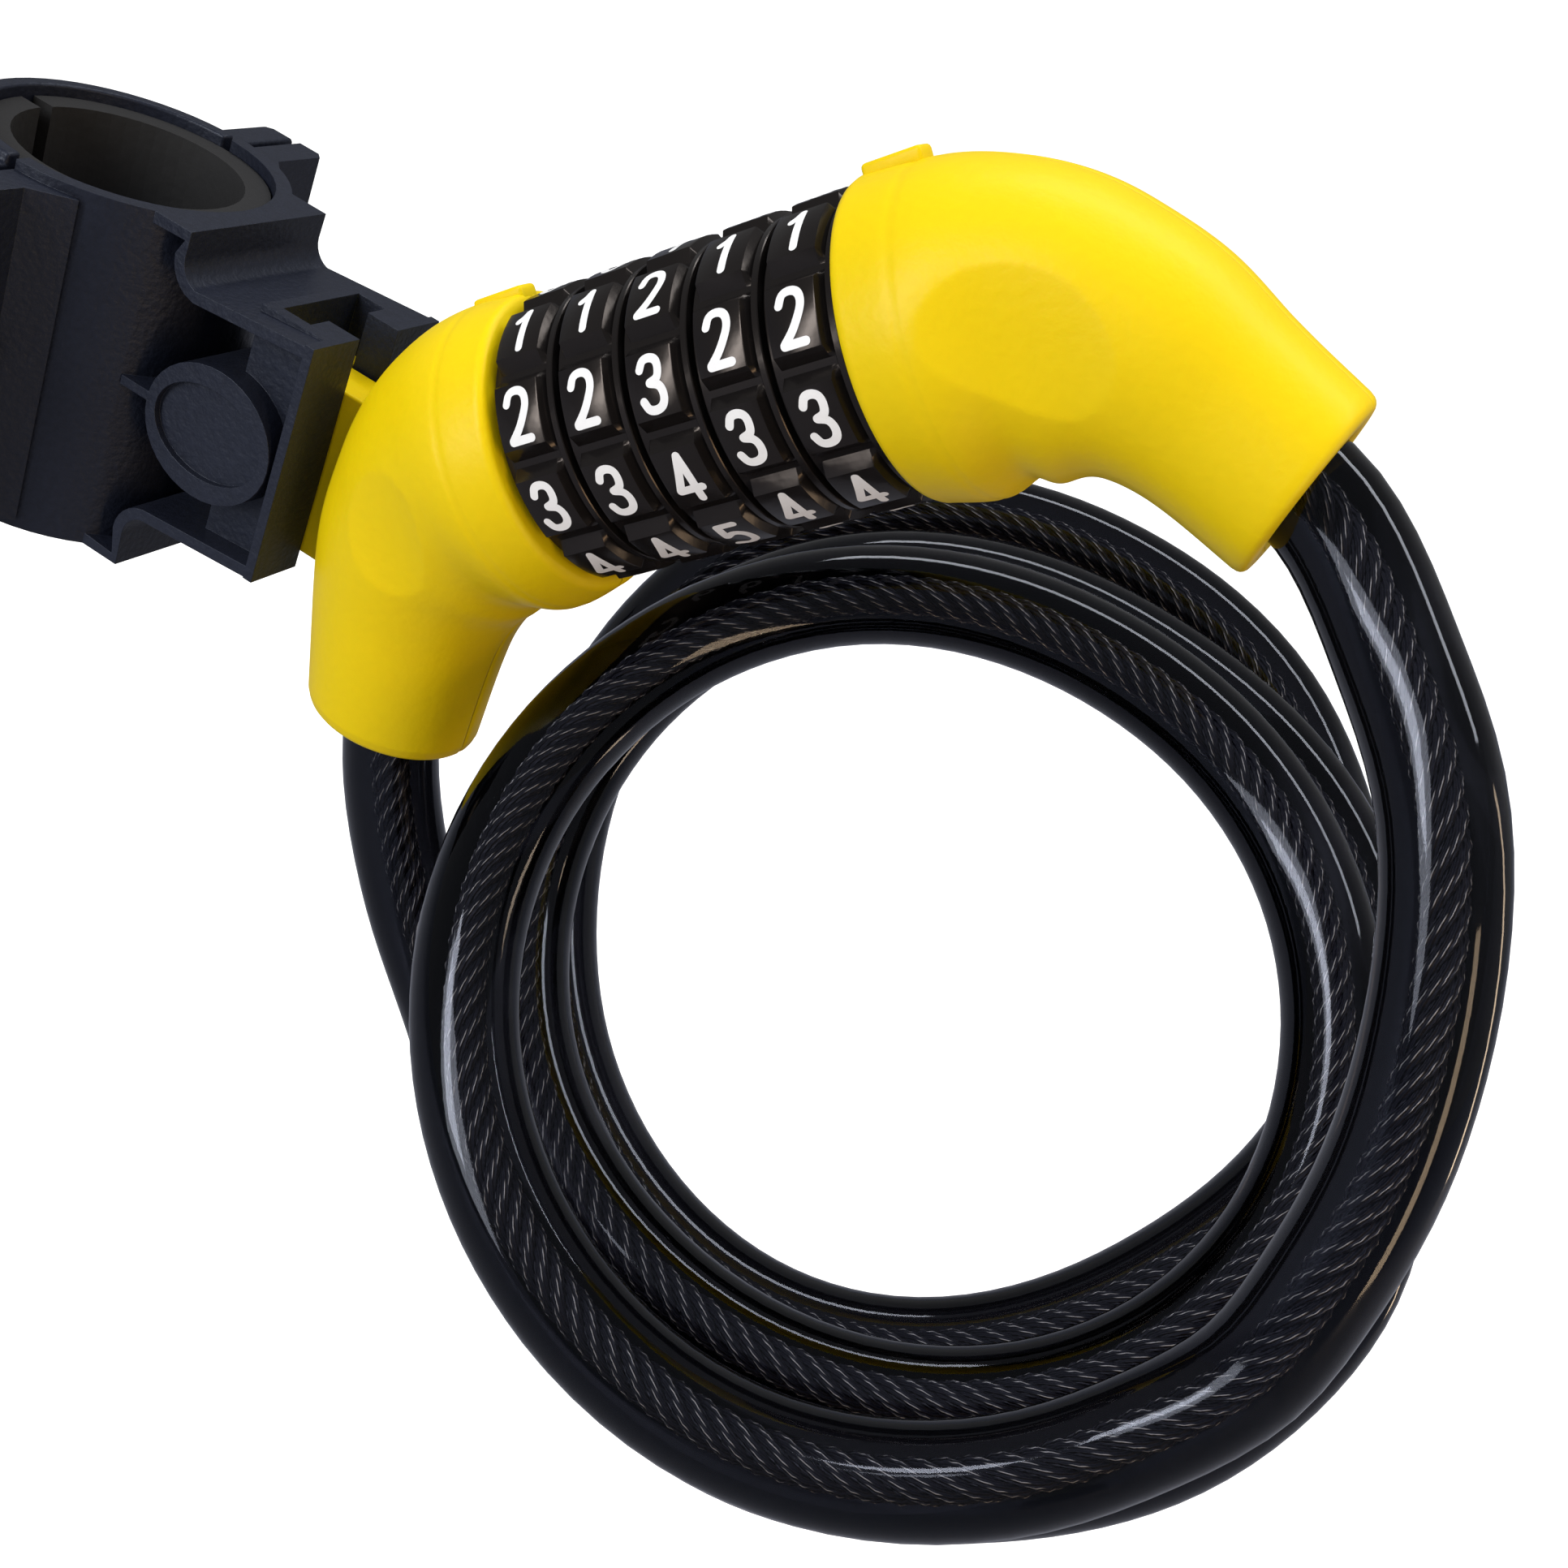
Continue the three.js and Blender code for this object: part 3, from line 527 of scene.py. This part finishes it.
def cable_line(step):
    points = [*ROUTE_RIGHT, COIL_LEAD_IN, *map(tuple, coil_points()), *ROUTE_LEFT]
    start = np.subtract(points[1], points[0])
    end = np.subtract(points[-1], points[-2])
    return smooth_line(points, start, end, step)


def strand_lines(line):
    """The rope's strands: helices about the cable's middle line."""
    across, over = carried_frames(line)
    run = np.r_[0, np.cumsum(np.linalg.norm(np.diff(line, axis=0), axis=1))]
    swing = ROPE_RADIUS - STRAND_RADIUS
    lines = []
    for k in range(STRANDS):
        turn = (2 * math.pi * (run / STRAND_PITCH + k / STRANDS))[:, None]
        lines.append(line + swing * (np.cos(turn) * across + np.sin(turn) * over))
    return lines


def lay_out_strands(rope, strands):
    """A UV map for the wires: metres along each strand, and turns about it."""
    along = np.concatenate([
        np.repeat(np.r_[0, np.cumsum(np.linalg.norm(np.diff(line, axis=0), axis=1))], STRAND_SIDES)
        for line in strands
    ])
    layer = rope.data.uv_layers.new(name="strand")
    for face in rope.data.polygons:
        sides = [rope.data.loops[i].vertex_index % STRAND_SIDES for i in face.loop_indices]
        wraps = 0 in sides and STRAND_SIDES - 1 in sides
        for i, side in zip(face.loop_indices, sides):
            turn = (side + STRAND_SIDES * (wraps and side == 0)) / STRAND_SIDES
            layer.data[i].uv = (along[rope.data.loops[i].vertex_index], turn)


def bend_with_lock(piece):
    """Bakes the piece's placement into its mesh; the cable is not attached to the lock body or the pin end.
    """
    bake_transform(piece)


def make_cable():
    line = cable_line(COVER_STEP)
    points, faces = tube_mesh(line, CABLE_RADIUS, COVER_SIDES)
    cover = new_object("cable_cover", points, faces, smooth=True)
    cover.data.materials.append(clear_vinyl())
    centre = cable_line(ROPE_STEP)
    strands = strand_lines(centre)
    rope = joined_tubes("cable_rope", strands, STRAND_RADIUS, STRAND_SIDES, centre)
    lay_out_strands(rope, strands)
    rope.data.materials.append(rope_steel())
    bend_with_lock(cover)
    bend_with_lock(rope)
    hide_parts("cable_right", "cable_left", "cable_coil")
    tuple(ROUTE_RIGHT[2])


# ---------------------------------------------------------------- the dial axis
DIAL_JOINT = JOINTS["dial_1_turn"]
DIAL_START = np.array(DIAL_JOINT["pos_m"])
DIAL_AXIS = unit(np.array(DIAL_JOINT["axis"], float))
DIAL_DOWN = np.array((DIAL_AXIS[2], 0, -DIAL_AXIS[0]))
BACKWARD = np.array((0, 1, 0))
DIALS = 5
DIAL_PITCH = 0.0084
DIAL_WIDTH = 0.0081
PACK = DIALS * DIAL_PITCH


def around_dials(radius, degrees, along):
    """A point at an angle about the dial axis, 0 being below and 90 behind."""
    turn = math.radians(degrees)
    out = math.cos(turn) * DIAL_DOWN + math.sin(turn) * BACKWARD
    return DIAL_START + along * DIAL_AXIS + radius * out


# ---------------------------------------------------------------- elbow shells
CORNER = 0.0156  # from the dial pack's end to where the legs' lines meet
BEND_RADIUS = 0.016
FAN_START = 0.004
FAN_END = 0.0365
EXIT_BORE = 0.007
BORE_CHAMFER = 0.0005
BORE_SHOWN = 0.009  # how deep the exit's bore is built
LIP = 0.0011
MOUTH_ROUND = 0.0007
MOUTH_CHAMFER = 0.0002
FACE_RING = 0.0146  # a ring of points on the flat face next to the dials
SHELL_SIDES = 120  # per half
SHELL_STEP = 0.0004
SEAM_GROOVE = 0.0062  # a shallow ring groove's distance along
GROOVE_DEPTH = 0.00012
GROOVE_HALF = 0.0003
SPLIT_GAP = 0.00006  # half of the gap where the two halves meet
SPLIT_EDGE = 0.0004  # how wide a strip beside it is rounded off
SPLIT_ROUND = 0.00016
FILLING_HALF = 0.006
RIDGE_INSET = 0.0038  # from the dials to the index ridge's middle
RIDGE_HEIGHT = 0.0168  # above the dials' axis
RIDGE_HALF = (0.0034, 0.0016, 0.0010)
RIDGE_ROUND = 0.0005
# per side: the leg's direction, degrees above +X, and its length; the gap to the dials and the
# radius of the hole at that end; then the distance along the elbow, radius and shift towards the
# inside of the bend, in millimetres, as in the CAD part; what fills the inside of the bend at its
# thickest, and where; and for the dimple in the front its distance along, half length, half height
# and depth. The form's radii and shifts are rounded from a fitting program's output.
SHELLS = {
    "left": {
        "into": -DIAL_AXIS, "start": DIAL_START, "leg": -90, "length": 0.0348,
        "gap": 0.0003, "hub": 0.0038,
        "form": [
            (0, 16.9, 0), (7, 17.8, 0.45), (14, 16.4, -0.1), (21, 15.1, -0.6), (28, 13.6, -1.8),
            (35, 12.3, -1.7), (50, 10.6, 0),
        ],
        "inside": (0.0, 0.018),
        "dimple": (0.0200, 0.0068, 0.0062, 0.0008),
    },
    "right": {
        "into": DIAL_AXIS, "start": DIAL_START + PACK * DIAL_AXIS, "leg": -8, "length": 0.0314,
        "gap": 0.0, "hub": 0.0073,
        "form": [
            (0, 16.9, 0), (7, 17.1, 0.7), (14, 14.9, -0.1), (21, 13.5, -0.6), (28, 12.1, -1.4),
            (35, 10.8, -1), (46, 10.3, 0),
        ],
        "inside": (0.0020, 0.018),
        "dimple": (0.0172, 0.0094, 0.0066, 0.0011),
    },
}


class Elbow:
    """The middle line of one elbow: straight, a round bend, and straight to the cable's exit."""

    def __init__(self, side):
        shape = SHELLS[side]
        leg = math.radians(shape["leg"])
        self.start = shape["start"]
        self.into = shape["into"]
        self.out = np.array((math.cos(leg), 0, math.sin(leg)))
        self.angle = math.acos(self.into @ self.out)
        back = BEND_RADIUS * math.tan(self.angle / 2)
        self.first = CORNER - back
        self.bend = BEND_RADIUS * self.angle
        self.length = self.first + self.bend + shape["length"] - back
        self.inward = unit(self.out - self.into * (self.into @ self.out))

    def at(self, s):
        """The point on the middle line and, in the slice through it, the direction to the bend's inside.

        The slices fan out over more of the length than the bend has, so none cross on its inside.
        """
        a = min(max((s - self.first) / BEND_RADIUS, 0), self.angle)
        fan = self.angle * smooth_step(FAN_START, FAN_END, s)
        inside = math.cos(fan) * self.inward - math.sin(fan) * self.into
        point = (
            self.start
            + (min(s, self.first) + BEND_RADIUS * math.sin(a)) * self.into
            + BEND_RADIUS * (1 - math.cos(a)) * self.inward
            + max(0, s - self.first - self.bend) * self.out
        )
        return point, inside


def dimple_depth(side, s, height):
    """How far the front is pressed in, height being the distance above the elbow's middle line."""
    middle, half_along, half_up, depth = SHELLS[side]["dimple"]
    off = math.hypot((s - middle) / half_along, height / half_up)
    return depth * max(0, 1 - off * off)


def shell_outline(side, elbow):
    """(distance along, radius) pairs: over the outside, round the exit's lip and into its bore."""
    form = [(knot[0] * MM, knot[1] * MM) for knot in SHELLS[side]["form"]]
    start = SHELLS[side]["gap"]
    mouth = form[0][1]
    rows = [
        (start, SHELLS[side]["hub"]), (start, FACE_RING), (start, mouth - MOUTH_ROUND),
        (start + MOUTH_CHAMFER, mouth - MOUTH_CHAMFER),
    ]
    for s in np.arange(start + MOUTH_ROUND, elbow.length - LIP, SHELL_STEP):
        groove = GROOVE_DEPTH * math.exp(-(((s - SEAM_GROOVE) / GROOVE_HALF) ** 2))
        rows.append((s, smooth_value(form, s) - groove))
    rim = smooth_value(form, elbow.length)
    for a in np.linspace(0, math.pi / 2, 6):
        rows.append((elbow.length - LIP * (1 - math.sin(a)), rim - LIP * (1 - math.cos(a))))
    rows.append((elbow.length, EXIT_BORE + BORE_CHAMFER))
    rows.append((elbow.length - BORE_CHAMFER, EXIT_BORE))
    rows.append((elbow.length - BORE_SHOWN, EXIT_BORE))
    return rows


def make_shell_half(side, half, yellow):
    """Half circles about the elbow, from the dial end over the outside and into the exit's bore."""
    elbow = Elbow(side)
    shifts = [(k[0] * MM, k[2] * MM) for k in SHELLS[side]["form"]]
    rows = shell_outline(side, elbow)
    filling, thickest = SHELLS[side]["inside"]
    sign = -1 if half == "front" else 1
    points = []
    for s, radius in rows:
        point, inside = elbow.at(s)
        shift = smooth_value(shifts, min(max(s, 0), elbow.length))
        outer = radius > EXIT_BORE + 0.001
        fill = outer * filling * math.exp(-(((s - thickest) / FILLING_HALF) ** 2))
        for k in range(SHELL_SIDES + 1):
            turn = math.pi * k / SHELL_SIDES
            height = (radius + fill * (turn < math.pi / 2)) * math.cos(turn)
            across = radius * math.sin(turn)
            if outer and half == "front":
                across -= dimple_depth(side, s, height + shift) * (across > 0)
            edge = min(across, radius) / SPLIT_EDGE
            if edge < 1:
                height -= math.copysign(SPLIT_ROUND * (1 - edge), height)
            points.append(point + inside * (height + shift) + BACKWARD * sign * max(across, SPLIT_GAP))
    faces = []
    wide = SHELL_SIDES + 1
    for i in range(len(rows) - 1):
        for k in range(SHELL_SIDES):
            quad = (i * wide + k, i * wide + k + 1, (i + 1) * wide + k + 1, (i + 1) * wide + k)
            faces.append(quad if (sign > 0) == (side == "right") else quad[::-1])
    shell = new_object(f"{side}_elbow_{half}", points, faces, smooth=True)
    shell.data.materials.append(yellow)
    return shell


def make_index_ridge(side):
    """The raised mark on top of a shell, next to the dials, that the code is read against."""
    sign = -1 if side == "left" else 1
    start = SHELLS[side]["start"]
    up = -DIAL_DOWN
    middle = start + sign * RIDGE_INSET * DIAL_AXIS + RIDGE_HEIGHT * up
    ridge = rounded_box(side + "_index_ridge", RIDGE_HALF, RIDGE_ROUND)
    turn = Matrix((DIAL_AXIS, BACKWARD, up)).transposed()
    ridge.data.transform(Matrix.Translation(middle) @ turn.to_4x4())
    return ridge


def make_shells():
    yellow = grained("yellow_abs", (0.8, 0.58, 0.001), 0.42, 900, 0.00005, mottle=0.03, gloss=0.2, glow=0.06)
    for side, body in (("left", "pin_end"), ("right", "lock_body")):
        for half in ("front", "back"):
            shell = make_shell_half(side, half, yellow)
            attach(shell, body)
            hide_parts(f"{side}_shell_{half}")
        ridge = make_index_ridge(side)
        ridge.data.materials.append(yellow)
        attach(ridge, body)
    return yellow


# ---------------------------------------------------------------- dials and numerals
DIAL_RADIUS = 0.0163
DIAL_VALLEY = 0.0150
DIAL_RIM = 0.0156
DIAL_BORE = 0.0097
DIAL_TURNED = [2, 3, 5.5, -3, -2.4]  # degrees, as in the CAD part
FIRST_BLOCK = 6  # the block at 216 degrees
FIRST_NUMERAL = [1, 1, 2, 1, 1]  # the numeral of each dial's FIRST_BLOCK
BLOCKS = 10
BLOCK_PITCH = 360 / BLOCKS
BLOCK_START = 0.0010
BLOCK_END = 0.0065
BLOCK_HALF = 12.1  # degrees: half of a block's flat top
BLOCK_FOOT = 16.6
NUMERAL_TALL = 0.0062
NUMERAL_WIDE = 0.0035
STROKE = 0.00092
STROKE_STEP = 0.00015
PAINT_HEIGHT = 0.00003  # above the block that it lies on
# each numeral's strokes in a box that runs from -1 to 1 both ways
NUMERALS = {
    0: [[(0, 1), (-0.8, 0.55), (-1, 0), (-0.8, -0.55), (0, -1), (0.8, -0.55), (1, 0), (0.8, 0.55), (0, 1)]],
    1: [[(-0.55, 0.52), (-0.1, 0.72), (0.2, 1)], [(0.2, 1), (0.2, 0), (0.2, -1)]],
    2: [[(-0.95, 0.52), (-0.62, 0.9), (0, 1), (0.68, 0.86), (0.92, 0.45), (0.62, 0), (-0.2, -0.62),
         (-0.9, -0.97)],
        [(-0.9, -1), (0, -1), (0.95, -1)]],
    3: [[(-0.85, 0.62), (-0.5, 0.93), (0.05, 1), (0.66, 0.86), (0.82, 0.5), (0.55, 0.16), (-0.1, 0.04)],
        [(-0.1, 0.04), (0.62, -0.1), (0.95, -0.5), (0.66, -0.88), (0, -1), (-0.6, -0.92), (-0.95, -0.6)]],
    4: [[(0.15, 1), (-0.4, 0.2), (-1, -0.5)], [(-1, -0.5), (0, -0.5), (1, -0.5)],
        [(0.15, 1), (0.32, 0.5), (0.42, 0), (0.45, -1)]],
    5: [[(0.8, 1), (0, 1), (-0.7, 1)], [(-0.7, 1), (-0.76, 0.5), (-0.82, 0.1)],
        [(-0.82, 0.1), (-0.1, 0.3), (0.66, 0.12), (0.95, -0.34), (0.66, -0.84), (0, -1), (-0.85, -0.8)]],
    6: [[(0.6, 0.95), (-0.3, 0.55), (-0.85, -0.05), (-0.9, -0.6), (-0.4, -0.95), (0.2, -0.99), (0.85, -0.7),
         (0.9, -0.2), (0.4, 0.12), (-0.2, 0.12), (-0.8, -0.2)]],
    7: [[(-0.95, 1), (0, 1), (0.95, 1)], [(0.95, 1), (0.25, 0.1), (-0.3, -1)]],
    8: [[(0, 1), (0.7, 0.8), (0.75, 0.35), (0, 0.06), (-0.75, 0.35), (-0.7, 0.8), (0, 1)],
        [(0, 0.06), (-0.85, -0.2), (-0.9, -0.75), (0, -1), (0.9, -0.75), (0.85, -0.2), (0, 0.06)]],
}
NUMERALS[9] = [[(-x, -y) for x, y in stroke] for stroke in NUMERALS[6]]


def block_height(degrees):
    """0 in the valley between two blocks and 1 on a block's top."""
    off = abs((degrees + BLOCK_PITCH / 2) % BLOCK_PITCH - BLOCK_PITCH / 2)
    return float(np.clip((BLOCK_FOOT - off) / (BLOCK_FOOT - BLOCK_HALF), 0, 1))


def dial_rows():
    """(place along the dial, radius in a valley, radius on a block) from its left side to its right."""
    valley, top, rim = DIAL_VALLEY, DIAL_RADIUS, DIAL_RIM
    end = DIAL_WIDTH
    return [
        (0.0, DIAL_BORE, DIAL_BORE), (0.0, valley - 0.0002, valley - 0.0002), (0.0002, valley, valley),
        (BLOCK_START - 0.00002, valley, valley), (BLOCK_START, valley, top - 0.00018),
        (BLOCK_START + 0.00005, valley, top - 0.00005), (BLOCK_START + 0.00018, valley, top),
        (BLOCK_END - 0.00015, valley, top), (BLOCK_END, valley, top - 0.00006),
        (BLOCK_END + 0.0006, valley, valley + 0.00005), (end - 0.0011, valley, valley),
        (end - 0.00095, valley + 0.00005, valley + 0.00005), (end - 0.0008, rim - 0.0001, rim - 0.0001),
        (end - 0.0007, rim, rim), (end - 0.0001, rim, rim), (end, rim - 0.0001, rim - 0.0001),
        (end, DIAL_BORE, DIAL_BORE),
    ]


def dial_angles():
    """Angles about the dial, closer together where a block's ends slope."""
    half = (4, 8, 11.5, 12.1, 12.6, 14.3, 16, 16.6, 17.2)
    offs = [-BLOCK_PITCH / 2, *[-off for off in reversed(half)], 0, *half]
    return [block * BLOCK_PITCH + off for block in range(BLOCKS) for off in offs]


def make_dial(number, black):
    z0 = (number - 1) * DIAL_PITCH
    turned = DIAL_TURNED[number - 1]
    angles = dial_angles()
    rows = dial_rows()
    points = []
    for along, valley, top in rows:
        for degrees in angles:
            radius = valley + (top - valley) * block_height(degrees)
            points.append(around_dials(radius, degrees + turned, z0 + along))
    wide = len(angles)
    faces = []
    for i in range(len(rows)):
        j = (i + 1) % len(rows)
        for k in range(wide):
            m = (k + 1) % wide
            faces.append((i * wide + k, i * wide + m, j * wide + m, j * wide + k))
    dial = new_object(f"number_ring_{number}", points, faces)
    outward(dial)
    dial.data.shade_smooth()
    dial.data.materials.append(black)
    crisp = dial.modifiers.new("crisp", "EDGE_SPLIT")
    crisp.split_angle = math.radians(28)
    return dial


def stroke_outline(path):
    """The flat outline of a stroke with round ends along a path of (x, y) points."""
    line = np.array(path, float)
    line = smooth_line(line, line[1] - line[0], line[-1] - line[-2], STROKE_STEP)
    ahead = unit(np.gradient(line, axis=0))
    side = np.stack([-ahead[:, 1], ahead[:, 0]], axis=1) * STROKE / 2
    left = list(line + side)
    right = list((line - side)[::-1])
    caps = []
    for place, way in ((line[-1], ahead[-1]), (line[0], -ahead[0])):
        heading = math.atan2(way[1], way[0])
        cap = [heading + a for a in np.linspace(math.pi / 2, -math.pi / 2, 9)[1:-1]]
        caps.append([place + STROKE / 2 * np.array((math.cos(a), math.sin(a))) for a in cap])
    return left, right, caps


def numeral_mesh(value, points, faces, to_dial):
    """Adds a numeral's strokes as strips that lie on the dial."""
    half = np.array(((NUMERAL_WIDE - STROKE) / 2, (NUMERAL_TALL - STROKE) / 2))
    for path in NUMERALS[value]:
        left, right, caps = stroke_outline([np.array(p) * half for p in path])
        right = right[::-1]
        base = len(points)
        for a, b in zip(left, right):
            points.append(to_dial(a))
            points.append(to_dial(b))
        for i in range(len(left) - 1):
            k = base + 2 * i
            faces.append((k, k + 2, k + 3, k + 1))
        top = base + 2 * len(left) - 2
        for cap, (first, last) in zip(caps, ((top, top + 1), (base + 1, base))):
            ring = [first]
            for p in cap:
                ring.append(len(points))
                points.append(to_dial(p))
            faces.append(tuple(ring + [last]))


def make_numerals(number, white):
    middle = (number - 1) * DIAL_PITCH + (BLOCK_START + BLOCK_END) / 2
    points = []
    faces = []
    for block in range(BLOCKS):
        value = (FIRST_NUMERAL[number - 1] + block - FIRST_BLOCK) % 10
        degrees = block * BLOCK_PITCH + DIAL_TURNED[number - 1]

        def to_dial(p, degrees=degrees):
            turn = degrees - math.degrees(p[1] / DIAL_RADIUS)
            return around_dials(DIAL_RADIUS + PAINT_HEIGHT, turn, middle + p[0])

        numeral_mesh(value, points, faces, to_dial)
    numerals = new_object(f"numerals_{number}", points, faces)
    numerals.data.materials.append(white)
    return numerals


def make_dials():
    black = grained(
        "dial_gloss", (0.008, 0.007, 0.007), 0.2, 500, 0.00003, mottle=0.1, gloss=0.32,
        tint=(1, 0.86, 0.78),
    )
    white = grained("numeral_paint", (0.86, 0.86, 0.86), 0.4, 1500, 0.00002, mottle=0.03)
    for number in range(1, DIALS + 1):
        body = f"dial_{number}_turning"
        dial = make_dial(number, black)
        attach(dial, body)
        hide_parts(f"dial_{number}")
        numerals = make_numerals(number, white)
        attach(numerals, body)


# ---------------------------------------------------------------- bracket
TOP_BAND = 0.0015  # what counts as a piece's top


def softened_copy(node, radius, shorter=0.0):
    """A new piece in a CAD node's shape with rounded edges and its top lowered by shorter."""
    source = frame["nodes"][node]
    piece = bpy.data.objects.new(node + "_moulded", source.data.copy())
    bpy.context.scene.collection.objects.link(piece)
    piece.data.materials.clear()
    work = bmesh.new()
    work.from_mesh(piece.data)
    bmesh.ops.remove_doubles(work, verts=work.verts, dist=2e-5)
    bmesh.ops.dissolve_limit(work, angle_limit=math.radians(1), verts=work.verts, edges=work.edges)
    top = max(v.co.z for v in work.verts)
    for v in work.verts:
        if v.co.z > top - TOP_BAND:
            v.co.z -= shorter
    work.to_mesh(piece.data)
    work.free()
    piece.data.shade_smooth()
    bevel = piece.modifiers.new("edges", "BEVEL")
    bevel.width = radius
    bevel.segments = 2
    bevel.limit_method = "ANGLE"
    bevel.angle_limit = math.radians(32)
    bevel.harden_normals = False
    weighted = piece.modifiers.new("shading", "WEIGHTED_NORMAL")
    weighted.keep_sharp = True
    return piece


def make_moulded(body, radius, look, slot, *nodes, shorter=0.0):
    for node in nodes:
        piece = softened_copy(node, radius, shorter)
        piece.data.materials.append(look)
        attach(piece, body)
        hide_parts(node)


def paint_node(look, *nodes):
    for node in nodes:
        data = frame["nodes"][node].data
        data.materials.clear()
        data.materials.append(look)


def finish_nodes(yellow):
    """The bracket and tongue as rounded mouldings, and a look for each CAD node that stays."""
    black = grained(
        "bracket_nylon", (0.009, 0.011, 0.02), 0.46, 1300, 0.0001, mottle=0.35, gloss=0.36,
        tint=(0.8, 0.86, 1),
    )
    rubber = grained("liner_rubber", (0.012, 0.012, 0.013), 0.8, 700, 0.0001)
    steel = grained("plated_steel", (0.5, 0.51, 0.53), 0.3, 900, 0.00003, metal=1)
    brass = grained("turned_brass", (0.6, 0.42, 0.14), 0.32, 900, 0.00003, metal=1)
    make_moulded("bracket", 0.45 * MM, black, "black_plastic", "bracket_body", "clamp_strap")
    make_moulded("pin_end", 0.4 * MM, yellow, "yellow_plastic", "left_tongue", shorter=4 * MM)
    paint_node(rubber, "post_liner")
    for side in ("front", "back"):
        paint_node(steel, "clamp_screw_" + side, "clamp_nut_" + side)
    for side in ("left", "right"):
        paint_node(steel, side + "_cross_pin")
        paint_node(brass, side + "_ferrule")
    paint_node(steel, "lock_pin", "barrel", "detent_strip", "barrel_clip")
    paint_node(brass, *[f"code_wheel_{number}" for number in range(1, DIALS + 1)])


# ---------------------------------------------------------------- the whole picture
make_camera()
make_world()
make_lights()
make_floor()
make_cable()
make_dials()
finish_nodes(make_shells())
